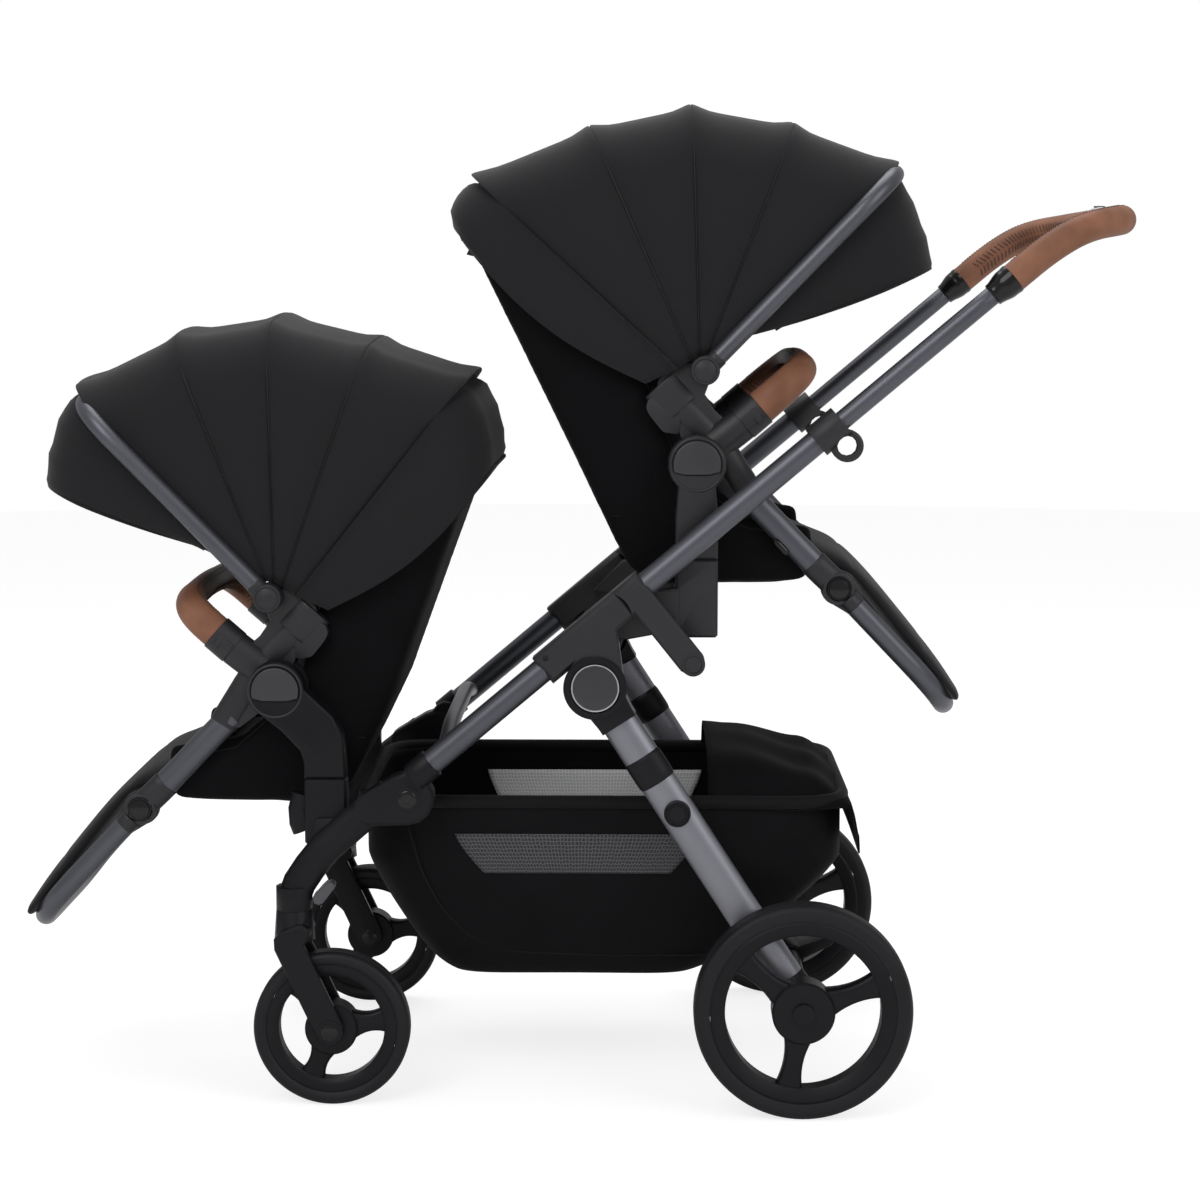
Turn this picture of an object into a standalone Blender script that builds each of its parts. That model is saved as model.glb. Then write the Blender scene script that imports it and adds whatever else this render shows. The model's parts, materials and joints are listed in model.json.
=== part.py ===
"""Convertible double stroller: one folding frame that carries two reversible seats in tandem.

Metres, +Z up. The stroller drives towards -X and its left side is at -Y. Heights count from the ground.
The frame's main line runs straight from the front knuckle through the hub to the push handle. A seat is
built once, in its own frame with its pivot disc at the origin and the child facing +X, and used twice.
"""
import math

import bmesh
import bpy
from mathutils import Matrix, Vector

# Clearances
FIT = 0.0003
RUNNING_GAP = 0.0015
LANE_GAP = 0.004
JOIN = 0.002

# Main line of the frame in the side view, measured from the handle pivot
MAIN_ANGLE = math.radians(40.1)
HANDLE_PIVOT = (0.012, 0.634)
FRAME_Y = 0.250

# Hub housing
HUB_THICKNESS = 0.040
SLEEVE_HALF = 0.0205
SLEEVE_FRONT = -0.102
HINGE_RADIUS = 0.035
HINGE_TONGUE = 0.008
HINGE_PIN_RADIUS = 0.0045
REAR_PIVOT = (0.0, 0.548)
REAR_LOBE_RADIUS = 0.037
REAR_TONGUE = 0.012
REAR_PIN_RADIUS = 0.006
BADGE_RADIUS = 0.031
BADGE_HEIGHT = 0.002

# Tubes along the main line
FRONT_TUBE_RADIUS = 0.016
FRONT_TUBE_END = -0.300
FRONT_BAR_OFFSET = 0.035
FRONT_BAR_RISE = 0.018
FRONT_BAR_FILLET = 0.05
FRONT_BAR_RADIUS = 0.0105
HANDLE_TUBE_RADIUS = 0.0155
COLLAR_END = 0.068
CLAMP_START = 0.345
CLAMP_END = 0.386
CLAMP_RADIUS = 0.0215
EYE_OUTER = 0.020
EYE_INNER = 0.0125
EYE_DROP = 0.028
EYE_ADVANCE = 0.006
EYE_THICKNESS = 0.014
CLAMP_LIP = 0.006
INNER_TUBE_RADIUS = 0.0122
INNER_TUBE_START = 0.322
HANDLE_TRAVEL = 0.150
BORE_START = INNER_TUBE_START - HANDLE_TRAVEL - LANE_GAP
GRIP_COLLAR_START = 0.628
GRIP_COLLAR_END = 0.656
GRIP_COLLAR_RADIUS = 0.0185
GRIP_RADIUS = 0.0190
GRIP_CORE_RADIUS = 0.0100
GRIP_REACH = 0.666
GRIP_HEIGHT = 1.133
GRIP_CORNER_INSET = 0.055
TRIGGER_LENGTH = 0.052
TRIGGER_WIDTH = 0.022
TRIGGER_TRAVEL = 0.003
STAND_TIP = (0.121, 0.580)
STAND_RADIUS = 0.017
STAND_THICKNESS = 0.018

# Front legs, swivel forks and front wheels
KNUCKLE = (-0.239, 0.402)
KNUCKLE_RADIUS = 0.034
KNUCKLE_WEB_END = (-0.288, 0.388)
LEG_THICKNESS = 0.034
LEG_WIDTH = 0.043
LEG_Y = 0.240
LEG_CURVE = ((-0.262, 0.406), (-0.305, 0.372), (-0.346, 0.336), (-0.366, 0.311), (-0.380, 0.290))
SWIVEL_X = -0.387
CROWN_SEAM = 0.256
CROWN_RADIUS = 0.0265
STEM_RADIUS = 0.0235
STEM_PIN_RADIUS = 0.008
STEM_PIN_LENGTH = 0.023
STEM_HEIGHT = 0.030
FRONT_WHEEL_RADIUS = 0.101
FRONT_WHEEL_WIDTH = 0.036
FRONT_TRAIL = 0.047
FRONT_RIM_RADIUS = 0.084
FRONT_WINDOW_RADIUS = 0.068
FRONT_HUB_RADIUS = 0.034
FORK_ARM_THICKNESS = 0.010
FORK_ARM_RADIUS = 0.0185
AXLE_RADIUS = 0.006
LOCK_THICKNESS = 0.020

# Rear legs, axle and rear wheels
REAR_LEG_LENGTH = 0.4865
REAR_LEG_ANGLE = math.radians(-57.2)
REAR_LEG_WIDTH = 0.047
REAR_LEG_THICKNESS = 0.030
REAR_CLIP = (0.125, 0.165)
REAR_STOP_AT = 0.192
REAR_STOP_HEIGHT = 0.004
REAR_STOP_RADIUS = 0.017
REAR_BOSS_RADIUS = 0.026
REAR_WHEEL_WIDTH = 0.042
REAR_TYRE_DEPTH = 0.021
REAR_RIM_DEPTH = 0.019
REAR_HUB_RADIUS = 0.040
AXLE_TUBE_RADIUS = 0.0125
STUB_RADIUS = 0.008
AXLE_CAP_RADIUS = 0.014
SPOKE_WIDTH = 0.032
SPOKE_THICKNESS = 0.016
PEDAL_WIDTH = 0.070
PEDAL_REACH = 0.052

# Basket
BASKET_RIM_HEIGHT = 0.389
BASKET_RAIL_RADIUS = 0.006
BASKET_FRONT = -0.305
BASKET_REAR = 0.322
BASKET_HALF_WIDTH = 0.204
BASKET_FLOOR_HEIGHT = 0.160
BASKET_FLOOR_FRONT = -0.215
BASKET_FLOOR_REAR = 0.185
BASKET_FLOOR_HALF_WIDTH = 0.165
BASKET_WALL = 0.005
BASKET_BULGE = 0.6

# Seat sockets and adapters
ADAPTER_THICKNESS = 0.032
ADAPTER_WIDTH = 0.054
ADAPTER_HEAD_RADIUS = 0.037
SPIGOT_WIDTH = 0.036
SPIGOT_THICKNESS = 0.018
SPIGOT_LENGTH = 0.042
UPPER_SEAT = (0.128, 0.826)
UPPER_SOCKET = (0.128, 0.606, 0.706)
LOWER_SEAT = (-0.410, 0.536)
LOWER_SOCKET = (-0.3475, 0.336, 0.422)
LOWER_LATCH_LINE = ((-0.030, 0.016), (-0.034, 0.026), (-0.035, 0.044), (-0.030, 0.064))
LOWER_LATCH_WIDTH = 0.030
LOWER_LATCH_DEPTH = 0.024
BRIDGE_HALF = 0.024
BRIDGE_HEIGHT = 0.036
BUTTON_RADIUS = 0.0305
BUTTON_HEIGHT = 0.0085
BUTTON_POCKET = 0.006

# Seat, in its own frame
SEAT_HUB_THICKNESS = 0.024
SEAT_HUB_RADIUS = 0.036
SEAT_TUBE_RADIUS = 0.0145
SEAT_TUBE_START = 0.073
SEAT_SLEEVE_LENGTH = 0.085
SEAT_ARM = (
    (0.004, -0.010), (-0.024, 0.026), (-0.056, 0.058), (-0.059, 0.088), (-0.022, 0.0985), (0.014, 0.100),
    (0.034, 0.030), (0.030, 0.006),
)
HOOD_PIVOT = (0.010, 0.118)
HOOD_ARM_RADIUS = 0.020
STUB_END = (0.058, 0.052)
STUB_RADIUS_BUMPER = 0.0195
LEGREST_PIVOT = (0.183, -0.161)
LEGREST_KNUCKLE_RADIUS = 0.023
LEGREST_PIN_RADIUS = 0.005
LEGREST_TUBE_RADIUS = 0.0125
LEGREST_LENGTH = 0.220
LEGREST_ANGLE = math.radians(-46.5)
LEGREST_PAD_PROFILE = ((0.008, 0.030), (0.016, 0.044), (0.060, 0.042), (0.120, 0.034), (0.185, 0.025))
LEGREST_PAD_UNDER = 0.006
LEGREST_PAD_HALF_WIDTH = 0.122
BACK_TOP = (-0.286, 0.288)
BACK_LOW = (-0.103, -0.088)
SEAT_FLOOR = -0.152
SEAT_FRONT = 0.150
SHELL_WALL = 0.018
WING_LINE = ((0.055, -0.070), (-0.020, -0.005), (-0.062, 0.098), (-0.165, 0.232))
SHELL_FLOOR = 0.026
SHELL_GAP = 0.003
PAD_THICKNESS = 0.026
BUMPER_RADIUS = 0.0185
BUMPER_REACH = (0.136, 0.132)
BUMPER_STRAIGHT = 0.060
BUMPER_CORNER = 0.045
HOOD_RADIUS = 0.349
HOOD_WALL = 0.003
HOOD_WING = ((-0.235, 0.222), (-0.175, 0.169), (-0.098, 0.108), (-0.060, 0.098), (-0.022, 0.106))
HOOD_STEP = 0.0025
HOOD_CORNER = 0.075
HOOD_PIN_RADIUS = 0.006
HOOD_PIN_REACH = 0.006
BOW_ANGLE = math.radians(42.0)
BOW_TUBE_RADIUS = 0.0115
BOW_EYE_RADIUS = 0.018
VISOR_ANGLE = math.radians(23.0)
HOOD_REAR_ANGLE = math.radians(146.0)
SHELL_OVERLAP = math.radians(2.0)

# Facets
TUBE_STEPS = 2
FINE_TUBE = 0.0130
CORNER_STEPS = 3
HOOD_STEPS = 5
ROUND = 12
BORE_ROUND = 16
AXLE_ROUND = 20
WHEEL_ROUND = 26

# Sizes that follow
MAIN_DIRECTION = (math.cos(MAIN_ANGLE), math.sin(MAIN_ANGLE))
HUB_INNER = FRAME_Y - HUB_THICKNESS / 2
HUB_OUTER = FRAME_Y + HUB_THICKNESS / 2
ADAPTER_OUTER = HUB_INNER - LANE_GAP
ADAPTER_Y = ADAPTER_OUTER - ADAPTER_THICKNESS / 2
ADAPTER_INNER = ADAPTER_OUTER - ADAPTER_THICKNESS
SEAT_HUB_OUTER = ADAPTER_INNER - FIT
SEAT_HUB_INNER = SEAT_HUB_OUTER - SEAT_HUB_THICKNESS
SEAT_HUB_Y = (SEAT_HUB_OUTER + SEAT_HUB_INNER) / 2
SHELL_HALF_WIDTH = SEAT_HUB_INNER - SHELL_GAP
BOW_Y = SEAT_HUB_OUTER + FIT + BOW_TUBE_RADIUS
REAR_WHEEL_RADIUS = REAR_PIVOT[1] + REAR_LEG_LENGTH * math.sin(REAR_LEG_ANGLE)
REAR_AXLE = (
    REAR_PIVOT[0] + REAR_LEG_LENGTH * math.cos(REAR_LEG_ANGLE),
    REAR_WHEEL_RADIUS,
)
REAR_RIM_RADIUS = REAR_WHEEL_RADIUS - REAR_TYRE_DEPTH
REAR_WINDOW_RADIUS = REAR_RIM_RADIUS - REAR_RIM_DEPTH
REAR_LEG_OUTER = FRAME_Y + REAR_LEG_THICKNESS / 2
REAR_WHEEL_Y = REAR_LEG_OUTER + LANE_GAP + REAR_WHEEL_WIDTH / 2
FRONT_AXLE = (SWIVEL_X + FRONT_TRAIL, FRONT_WHEEL_RADIUS)


def clear_scene():
    """Remove what the new file holds."""
    for obj in list(bpy.data.objects):
        bpy.data.objects.remove(obj)


def make_material(name, colour, roughness, metallic):
    """A Principled material with one colour."""
    mat = bpy.data.materials.new(name)
    mat.use_nodes = True
    shader = mat.node_tree.nodes["Principled BSDF"]
    shader.inputs["Base Color"].default_value = (*colour, 1.0)
    shader.inputs["Roughness"].default_value = roughness
    shader.inputs["Metallic"].default_value = metallic
    return mat


def along(distance, offset=0.0):
    """The side view point on the main line, at a distance from the handle pivot and an offset above it."""
    x = HANDLE_PIVOT[0] + MAIN_DIRECTION[0] * distance - MAIN_DIRECTION[1] * offset
    z = HANDLE_PIVOT[1] + MAIN_DIRECTION[1] * distance + MAIN_DIRECTION[0] * offset
    return (x, z)


def polar(centre, radius, angle):
    """The side view point at a radius and an angle about a centre."""
    return (centre[0] + radius * math.cos(angle), centre[1] + radius * math.sin(angle))


def arc(centre, radius, start, end, steps):
    """Side view points along an arc, both ends included."""
    return [polar(centre, radius, start + (end - start) * i / steps) for i in range(steps + 1)]


def strap_outline(first, second, first_radius, second_radius, steps=4):
    """The outline round two discs and the straight tangents that join them."""
    across = Vector((second[0] - first[0], second[1] - first[1]))
    heading = math.atan2(across.y, across.x)
    tilt = math.acos(max(-1.0, min(1.0, (first_radius - second_radius) / across.length)))
    near = arc(first, first_radius, heading + tilt, heading + 2 * math.pi - tilt, steps)
    far = arc(second, second_radius, heading - tilt, heading + tilt, steps)
    return near + far


def rounded_path(corners, fillet, steps=3, closed=False):
    """A line through the corners with each inner corner turned into an arc-like curve."""
    points = [Vector(c) for c in corners]
    count = len(points)
    path = []
    for i, point in enumerate(points):
        if not closed and i in (0, count - 1):
            path.append(point)
            continue
        before = points[i - 1] - point
        after = points[(i + 1) % count] - point
        cut_before = point + before.normalized() * min(fillet, before.length * 0.48)
        cut_after = point + after.normalized() * min(fillet, after.length * 0.48)
        for k in range(steps + 1):
            t = k / steps
            path.append(cut_before * (1 - t) ** 2 + point * 2 * t * (1 - t) + cut_after * t ** 2)
    return path


def mesh_object(name, mesh):
    """An object that is linked to the scene."""
    obj = bpy.data.objects.new(name, mesh)
    bpy.context.scene.collection.objects.link(obj)
    return obj


def finish_mesh(name, bm):
    """Turn a bmesh into an object with its faces pointing out."""
    bmesh.ops.remove_doubles(bm, verts=bm.verts, dist=1e-6)
    bmesh.ops.recalc_face_normals(bm, faces=bm.faces)
    mesh = bpy.data.meshes.new(name)
    bm.to_mesh(mesh)
    bm.free()
    return mesh_object(name, mesh)


def plate(outline, y0, y1, bevel=0.0):
    """A flat part: a side view outline carried from y0 to y1, with its rim edges bevelled."""
    bm = bmesh.new()
    low, high = min(y0, y1), max(y0, y1)
    verts = [bm.verts.new((x, low, z)) for x, z in outline]
    bmesh.ops.remove_doubles(bm, verts=verts, dist=1e-6)
    face = bm.faces.new(bm.verts)
    made = bmesh.ops.extrude_face_region(bm, geom=[face])
    moved = [v for v in made["geom"] if isinstance(v, bmesh.types.BMVert)]
    bmesh.ops.translate(bm, verts=moved, vec=(0, high - low, 0))
    if bevel:
        rim = [e for e in bm.edges if abs(e.verts[0].co.y - e.verts[1].co.y) < 1e-7]
        bmesh.ops.bevel(bm, geom=rim, offset=bevel, segments=1, profile=0.5, affect="EDGES", material=-1)
    return finish_mesh("plate", bm)


def box(low, high, bevel=0.0):
    """A block between two corners."""
    bm = bmesh.new()
    bmesh.ops.create_cube(bm, size=1.0)
    size = [h - l for l, h in zip(low, high)]
    bmesh.ops.scale(bm, vec=size, verts=bm.verts)
    centre = [(l + h) / 2 for l, h in zip(low, high)]
    bmesh.ops.translate(bm, vec=centre, verts=bm.verts)
    if bevel:
        bmesh.ops.bevel(
            bm, geom=bm.edges[:], offset=bevel, segments=1, profile=0.5, affect="EDGES", material=-1
        )
    return finish_mesh("box", bm)


def rod(start, end, radius, end_radius=None, segments=ROUND):
    """A round bar between two points."""
    start, end = Vector(start), Vector(end)
    direction = end - start
    bm = bmesh.new()
    bmesh.ops.create_cone(
        bm, cap_ends=True, segments=segments, radius1=radius,
        radius2=radius if end_radius is None else end_radius, depth=direction.length,
    )
    turn = Vector((0, 0, 1)).rotation_difference(direction.normalized()).to_matrix().to_4x4()
    bmesh.ops.transform(bm, matrix=Matrix.Translation((start + end) / 2) @ turn, verts=bm.verts)
    return finish_mesh("rod", bm)


def disc(centre, y0, y1, radius, segments=ROUND):
    """A round bar across the stroller at a side view point."""
    return rod((centre[0], y0, centre[1]), (centre[0], y1, centre[1]), radius, segments=segments)


def tube(path, radius, closed=False):
    """A round tube along a path."""
    curve = bpy.data.curves.new("tube", "CURVE")
    curve.dimensions = "3D"
    curve.bevel_depth = radius
    curve.bevel_resolution = TUBE_STEPS if radius > FINE_TUBE else 1
    curve.use_fill_caps = True
    curve.twist_mode = "MINIMUM"
    spline = curve.splines.new("POLY")
    spline.points.add(len(path) - 1)
    for point, place in zip(spline.points, path):
        point.co = (*place, 1.0)
    spline.use_cyclic_u = closed
    obj = mesh_object("tube", curve)
    mesh = evaluated_mesh(obj)
    bpy.data.objects.remove(obj)
    bm = bmesh.new()
    bm.from_mesh(mesh)
    return finish_mesh("tube", bm)


def ring_section(place, heading, half_width, half_thickness, segments):
    """An oval ring of points, square to a heading in the side view."""
    side = Vector((-heading[1], 0, heading[0]))
    points = []
    for i in range(segments):
        angle = 2 * math.pi * i / segments
        offset = side * half_width * math.cos(angle) + Vector((0, 1, 0)) * half_thickness * math.sin(angle)
        points.append(Vector((place[0], place[1], place[2])) + offset)
    return points


def loft(rings):
    """A closed body through rings with equal numbers of points."""
    bm = bmesh.new()
    loops = [[bm.verts.new(p) for p in ring] for ring in rings]
    count = len(loops[0])
    for near, far in zip(loops, loops[1:]):
        for i in range(count):
            k = (i + 1) % count
            bm.faces.new((near[i], near[k], far[k], far[i]))
    bm.faces.new(loops[0])
    bm.faces.new(loops[-1])
    return finish_mesh("loft", bm)


def oval_bar(points, y, width, thickness, segments=12):
    """An oval bar along side view points at one distance from the middle."""
    rings = []
    for i, point in enumerate(points):
        before = Vector(points[max(i - 1, 0)])
        after = Vector(points[min(i + 1, len(points) - 1)])
        heading = (after - before).normalized()
        rings.append(ring_section((point[0], y, point[1]), heading, width / 2, thickness / 2, segments))
    return loft(rings)


def spin_profile(profile, centre, segments, start=0.0, sweep=2 * math.pi):
    """Turn a closed profile of (radius, y) points about an axis across the stroller."""
    full = abs(sweep - 2 * math.pi) < 1e-9
    bm = bmesh.new()
    steps = segments if full else segments + 1
    loops = []
    for i in range(steps):
        angle = start + sweep * i / segments
        ring = [bm.verts.new((*polar(centre, r, angle), y)) for r, y in profile]
        for vert in ring:
            vert.co = (vert.co.x, vert.co.z, vert.co.y)
        loops.append(ring)
    pairs = list(zip(loops, loops[1:]))
    if full:
        pairs.append((loops[-1], loops[0]))
    count = len(profile)
    for near, far in pairs:
        for i in range(count):
            k = (i + 1) % count
            bm.faces.new((near[i], near[k], far[k], far[i]))
    if not full:
        bm.faces.new(loops[0])
        bm.faces.new(loops[-1])
    return finish_mesh("spin", bm)


def evaluated_mesh(obj):
    """The mesh that an object shows, with its modifiers applied."""
    bpy.context.view_layer.update()
    depsgraph = bpy.context.evaluated_depsgraph_get()
    return bpy.data.meshes.new_from_object(obj.evaluated_get(depsgraph))


def combine(base, others, operation):
    """Apply exact booleans of the others to the base, and remove the others."""
    for other in others:
        modifier = base.modifiers.new("combine", "BOOLEAN")
        modifier.operation = operation
        modifier.solver = "EXACT"
        modifier.object = other
    mesh = evaluated_mesh(base)
    base.modifiers.clear()
    base.data = mesh
    for other in others:
        bpy.data.objects.remove(other)
    return base


def join(base, *others):
    """Weld bodies into one."""
    return combine(base, others, "UNION")


def cut(base, *others):
    """Cut bodies out of the base."""
    return combine(base, others, "DIFFERENCE")


def merged_flats(source):
    """A copy of a mesh in which neighbouring flat faces are one face."""
    bm = bmesh.new()
    bm.from_mesh(source)
    bmesh.ops.dissolve_limit(
        bm, angle_limit=math.radians(0.2), use_dissolve_boundaries=False, verts=bm.verts, edges=bm.edges
    )
    mesh = bpy.data.meshes.new(source.name)
    bm.to_mesh(mesh)
    bm.free()
    return mesh


class Pivot:
    """An empty on a joint's axis, with its place in the frame that its pieces are written in."""

    def __init__(self, name, place, parent=None, turn=0.0, frame_place=None):
        self.frame_place = Vector(place if frame_place is None else frame_place)
        self.empty = bpy.data.objects.new(name, None)
        self.empty.empty_display_size = 0.03
        bpy.context.scene.collection.objects.link(self.empty)
        if parent is None:
            self.empty.location = place
        else:
            self.empty.parent = parent.empty
            self.empty.location = Vector(place) - parent.frame_place
        self.empty.rotation_euler = (0, 0, turn)

    def carry(self, name, obj, material):
        """Name a finished body, give it its material and hang it on this pivot."""
        mesh = merged_flats(obj.data)
        bpy.data.objects.remove(obj)
        mesh.transform(Matrix.Translation(-self.frame_place))
        self.carry_mesh(name, mesh, material)
        return mesh

    def carry_mesh(self, name, mesh, material):
        """Hang a mesh that is already written about this pivot."""
        mesh.name = name
        mesh.materials.clear()
        mesh.materials.append(material)
        mesh.shade_smooth()
        mesh.set_sharp_from_angle(angle=math.radians(35))
        piece = mesh_object(name, mesh)
        piece.parent = self.empty


def mirrored(obj):
    """A copy of a body on the other side of the stroller."""
    mesh = obj.data.copy()
    mesh.transform(Matrix.Scale(-1, 4, (0, 1, 0)))
    mesh.flip_normals()
    return mesh_object(obj.name, mesh)


def both_sides(builder):
    """A right body and its mirror image on the left, as (side, body) pairs."""
    right = builder(1)
    return [(-1, mirrored(right)), (1, right)]


def side_name(side):
    """The stroller's left is at -Y."""
    return "left" if side < 0 else "right"


def lane(side, inner, outer):
    """A pair of y values on one side of the stroller."""
    return (side * inner, side * outer)


def hub_housing(side):
    """The black housing that joins front tube, handle hinge, rear leg and upper seat socket."""
    outer, inner = side * HUB_OUTER, side * HUB_INNER
    sleeve = plate(
        [along(SLEEVE_FRONT, SLEEVE_HALF), along(SLEEVE_FRONT, -SLEEVE_HALF),
         along(HINGE_RADIUS, -SLEEVE_HALF), along(HINGE_RADIUS, SLEEVE_HALF)],
        inner, outer, bevel=0.006,
    )
    web = plate(
        strap_outline(along(-0.012, -0.006), REAR_PIVOT, SLEEVE_HALF, REAR_LOBE_RADIUS),
        inner, outer, bevel=0.003,
    )
    badge = disc(REAR_PIVOT, outer - side * JOIN, outer + side * BADGE_HEIGHT, BADGE_RADIUS, 24)
    socket = seat_socket(side, UPPER_SOCKET)
    top = UPPER_SOCKET[2] - 0.036
    foot = UPPER_SOCKET[1] + 0.010
    rear = UPPER_SOCKET[0] - ADAPTER_WIDTH / 2 + 0.005
    bracket = plate(
        [along(-0.030, 0.0), along(0.0, -0.040), (rear, foot), (rear, top), along(0.030, 0.006)],
        side * (ADAPTER_Y - 0.004), side * (HUB_INNER - FIT), bevel=0.002,
    )
    boss = disc(along(-0.016, -0.016), side * ADAPTER_Y, side * (HUB_INNER + JOIN), 0.014)
    body = join(sleeve, web, badge, socket, bracket, boss)
    rounding = ring_cutter(HANDLE_PIVOT, HINGE_RADIUS - FIT, HINGE_RADIUS + 0.05, side)
    handle_slot = disc(
        HANDLE_PIVOT, *lane(side, FRAME_Y - HINGE_TONGUE / 2 - FIT, FRAME_Y + HINGE_TONGUE / 2 + FIT),
        HINGE_RADIUS + 0.002,
    )
    leg_slot = disc(
        REAR_PIVOT, *lane(side, FRAME_Y - REAR_TONGUE / 2 - FIT, FRAME_Y + REAR_TONGUE / 2 + FIT),
        REAR_LOBE_RADIUS + 0.003,
    )
    tube_bore = rod(
        place(SLEEVE_FRONT - 0.01, side * FRAME_Y), place(SLEEVE_FRONT + 0.052, side * FRAME_Y),
        FRONT_TUBE_RADIUS + FIT,
    )
    body = cut(body, rounding, handle_slot, leg_slot, tube_bore)
    pins = [
        disc(HANDLE_PIVOT, inner + side * JOIN, outer - side * JOIN, HINGE_PIN_RADIUS, 16),
        disc(REAR_PIVOT, inner + side * JOIN, outer - side * JOIN, REAR_PIN_RADIUS, 16),
    ]
    return join(body, *pins)


def ring_cutter(centre, inner, outer, side):
    """A sector about the handle hinge that rounds the sleeve's end to the collar's hollow."""
    reach = math.radians(75)
    outline = arc(centre, inner, MAIN_ANGLE - reach, MAIN_ANGLE + reach, 16)
    outline += arc(centre, outer, MAIN_ANGLE + reach, MAIN_ANGLE - reach, 10)
    return plate(outline, side * (HUB_INNER - FIT / 2), side * (HUB_OUTER + 0.01))


def place(distance, y, offset=0.0):
    """The point on the main line at a distance from the handle pivot."""
    x, z = along(distance, offset)
    return (x, y, z)


def seat_socket(side, socket):
    """The open-topped block that a seat adapter drops into."""
    x, foot, seam = socket
    half = ADAPTER_WIDTH / 2
    block = box(
        (x - half, -ADAPTER_THICKNESS / 2, foot), (x + half, ADAPTER_THICKNESS / 2, seam), bevel=0.003
    )
    hole = box(
        (x - SPIGOT_WIDTH / 2 - FIT, -SPIGOT_THICKNESS / 2 - FIT, seam - SPIGOT_LENGTH - FIT),
        (x + SPIGOT_WIDTH / 2 + FIT, SPIGOT_THICKNESS / 2 + FIT, seam + 0.01),
    )
    body = cut(block, hole)
    body.data.transform(Matrix.Translation((0, side * ADAPTER_Y, 0)))
    return body


def front_frame():
    """The two front tubes and the bowed bar that joins them above the knuckles."""
    bodies = []
    for side in (-1, 1):
        y = side * FRAME_Y
        bodies.append(rod(place(FRONT_TUBE_END, y), place(SLEEVE_FRONT + 0.050, y), FRONT_TUBE_RADIUS))
    x, z = along(FRONT_TUBE_END + FRONT_BAR_OFFSET)
    bow = FRONT_BAR_RISE
    corners = [
        (x, -FRAME_Y, z), (x, -FRAME_Y * 0.6, z + bow), (x, FRAME_Y * 0.6, z + bow), (x, FRAME_Y, z),
    ]
    bodies.append(tube(rounded_path(corners, FRONT_BAR_FILLET), FRONT_BAR_RADIUS))
    return join(*bodies)


def front_leg(side):
    """The black cast leg: knuckle, curved bar, swivel stem and the lower seat's socket."""
    y = side * LEG_Y
    half = LEG_THICKNESS / 2
    cap = disc(KNUCKLE, y + side * (half - JOIN), y + side * (half + 0.0015), KNUCKLE_RADIUS * 0.5)
    web = plate(
        strap_outline(KNUCKLE, KNUCKLE_WEB_END, KNUCKLE_RADIUS, 0.021, 8), y - half, y + half, 0.004
    )
    bar = oval_bar([*LEG_CURVE, (SWIVEL_X, CROWN_SEAM + STEM_HEIGHT / 2)], y, LEG_WIDTH, LEG_THICKNESS)
    stem = rod((SWIVEL_X, y, CROWN_SEAM + FIT), (SWIVEL_X, y, CROWN_SEAM + STEM_HEIGHT), STEM_RADIUS)
    neck = rod(
        place(FRONT_TUBE_END - 0.018, side * FRAME_Y), place(FRONT_TUBE_END + 0.012, side * FRAME_Y),
        FRONT_TUBE_RADIUS + 0.0035,
    )
    tongue = plate(
        strap_outline(KNUCKLE, along(FRONT_TUBE_END - 0.012), KNUCKLE_RADIUS * 0.8, FRONT_TUBE_RADIUS),
        y - half * 0.8, y + half * 0.8, 0.002,
    )
    socket = seat_socket(side, LOWER_SOCKET)
    x = LOWER_SOCKET[0]
    bridge = plate(
        [
            (x - BRIDGE_HALF, LOWER_SOCKET[1]), (x + BRIDGE_HALF, LOWER_SOCKET[1]),
            (x + BRIDGE_HALF, LOWER_SOCKET[1] + BRIDGE_HEIGHT),
            (x - BRIDGE_HALF * 0.4, LOWER_SOCKET[1] + BRIDGE_HEIGHT),
        ],
        side * (ADAPTER_OUTER - JOIN), side * (LEG_Y - half + 0.010),
    )
    latch = oval_bar(
        [(x + shift, LOWER_SOCKET[1] + height) for shift, height in LOWER_LATCH_LINE],
        side * ADAPTER_Y, LOWER_LATCH_WIDTH, LOWER_LATCH_DEPTH, 12,
    )
    body = join(web, cap, bar, stem, neck, tongue, socket, bridge, latch)
    bore = rod(
        place(FRONT_TUBE_END - FIT, side * FRAME_Y), place(FRONT_TUBE_END + 0.05, side * FRAME_Y),
        FRONT_TUBE_RADIUS + FIT,
    )
    pin_hole = rod(
        (SWIVEL_X, y, CROWN_SEAM - 0.01), (SWIVEL_X, y, CROWN_SEAM + STEM_PIN_LENGTH + 2 * FIT),
        STEM_PIN_RADIUS + FIT, segments=BORE_ROUND,
    )
    spigot_hole = box(
        (x - SPIGOT_WIDTH / 2 - FIT, -SPIGOT_THICKNESS / 2 - FIT, LOWER_SOCKET[2] - SPIGOT_LENGTH - FIT),
        (x + SPIGOT_WIDTH / 2 + FIT, SPIGOT_THICKNESS / 2 + FIT, LOWER_SOCKET[2] + 0.01),
    )
    spigot_hole.data.transform(Matrix.Translation((0, side * ADAPTER_Y, 0)))
    return cut(body, bore, pin_hole, spigot_hole)


def swivel_lock(side):
    """The small lever behind the stem that locks the front wheel straight."""
    half = LOCK_THICKNESS / 2
    pivot = lock_pivot()
    lever = strap_outline(pivot, (pivot[0] + 0.016, pivot[1] + 0.017), 0.008, 0.0055)
    return plate(lever, side * LEG_Y - half, side * LEG_Y + half, 0.001)


def lock_pivot():
    """The lever's axis, just behind the stem."""
    return (SWIVEL_X + STEM_RADIUS + 0.008 + FIT, CROWN_SEAM + 0.014)


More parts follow.
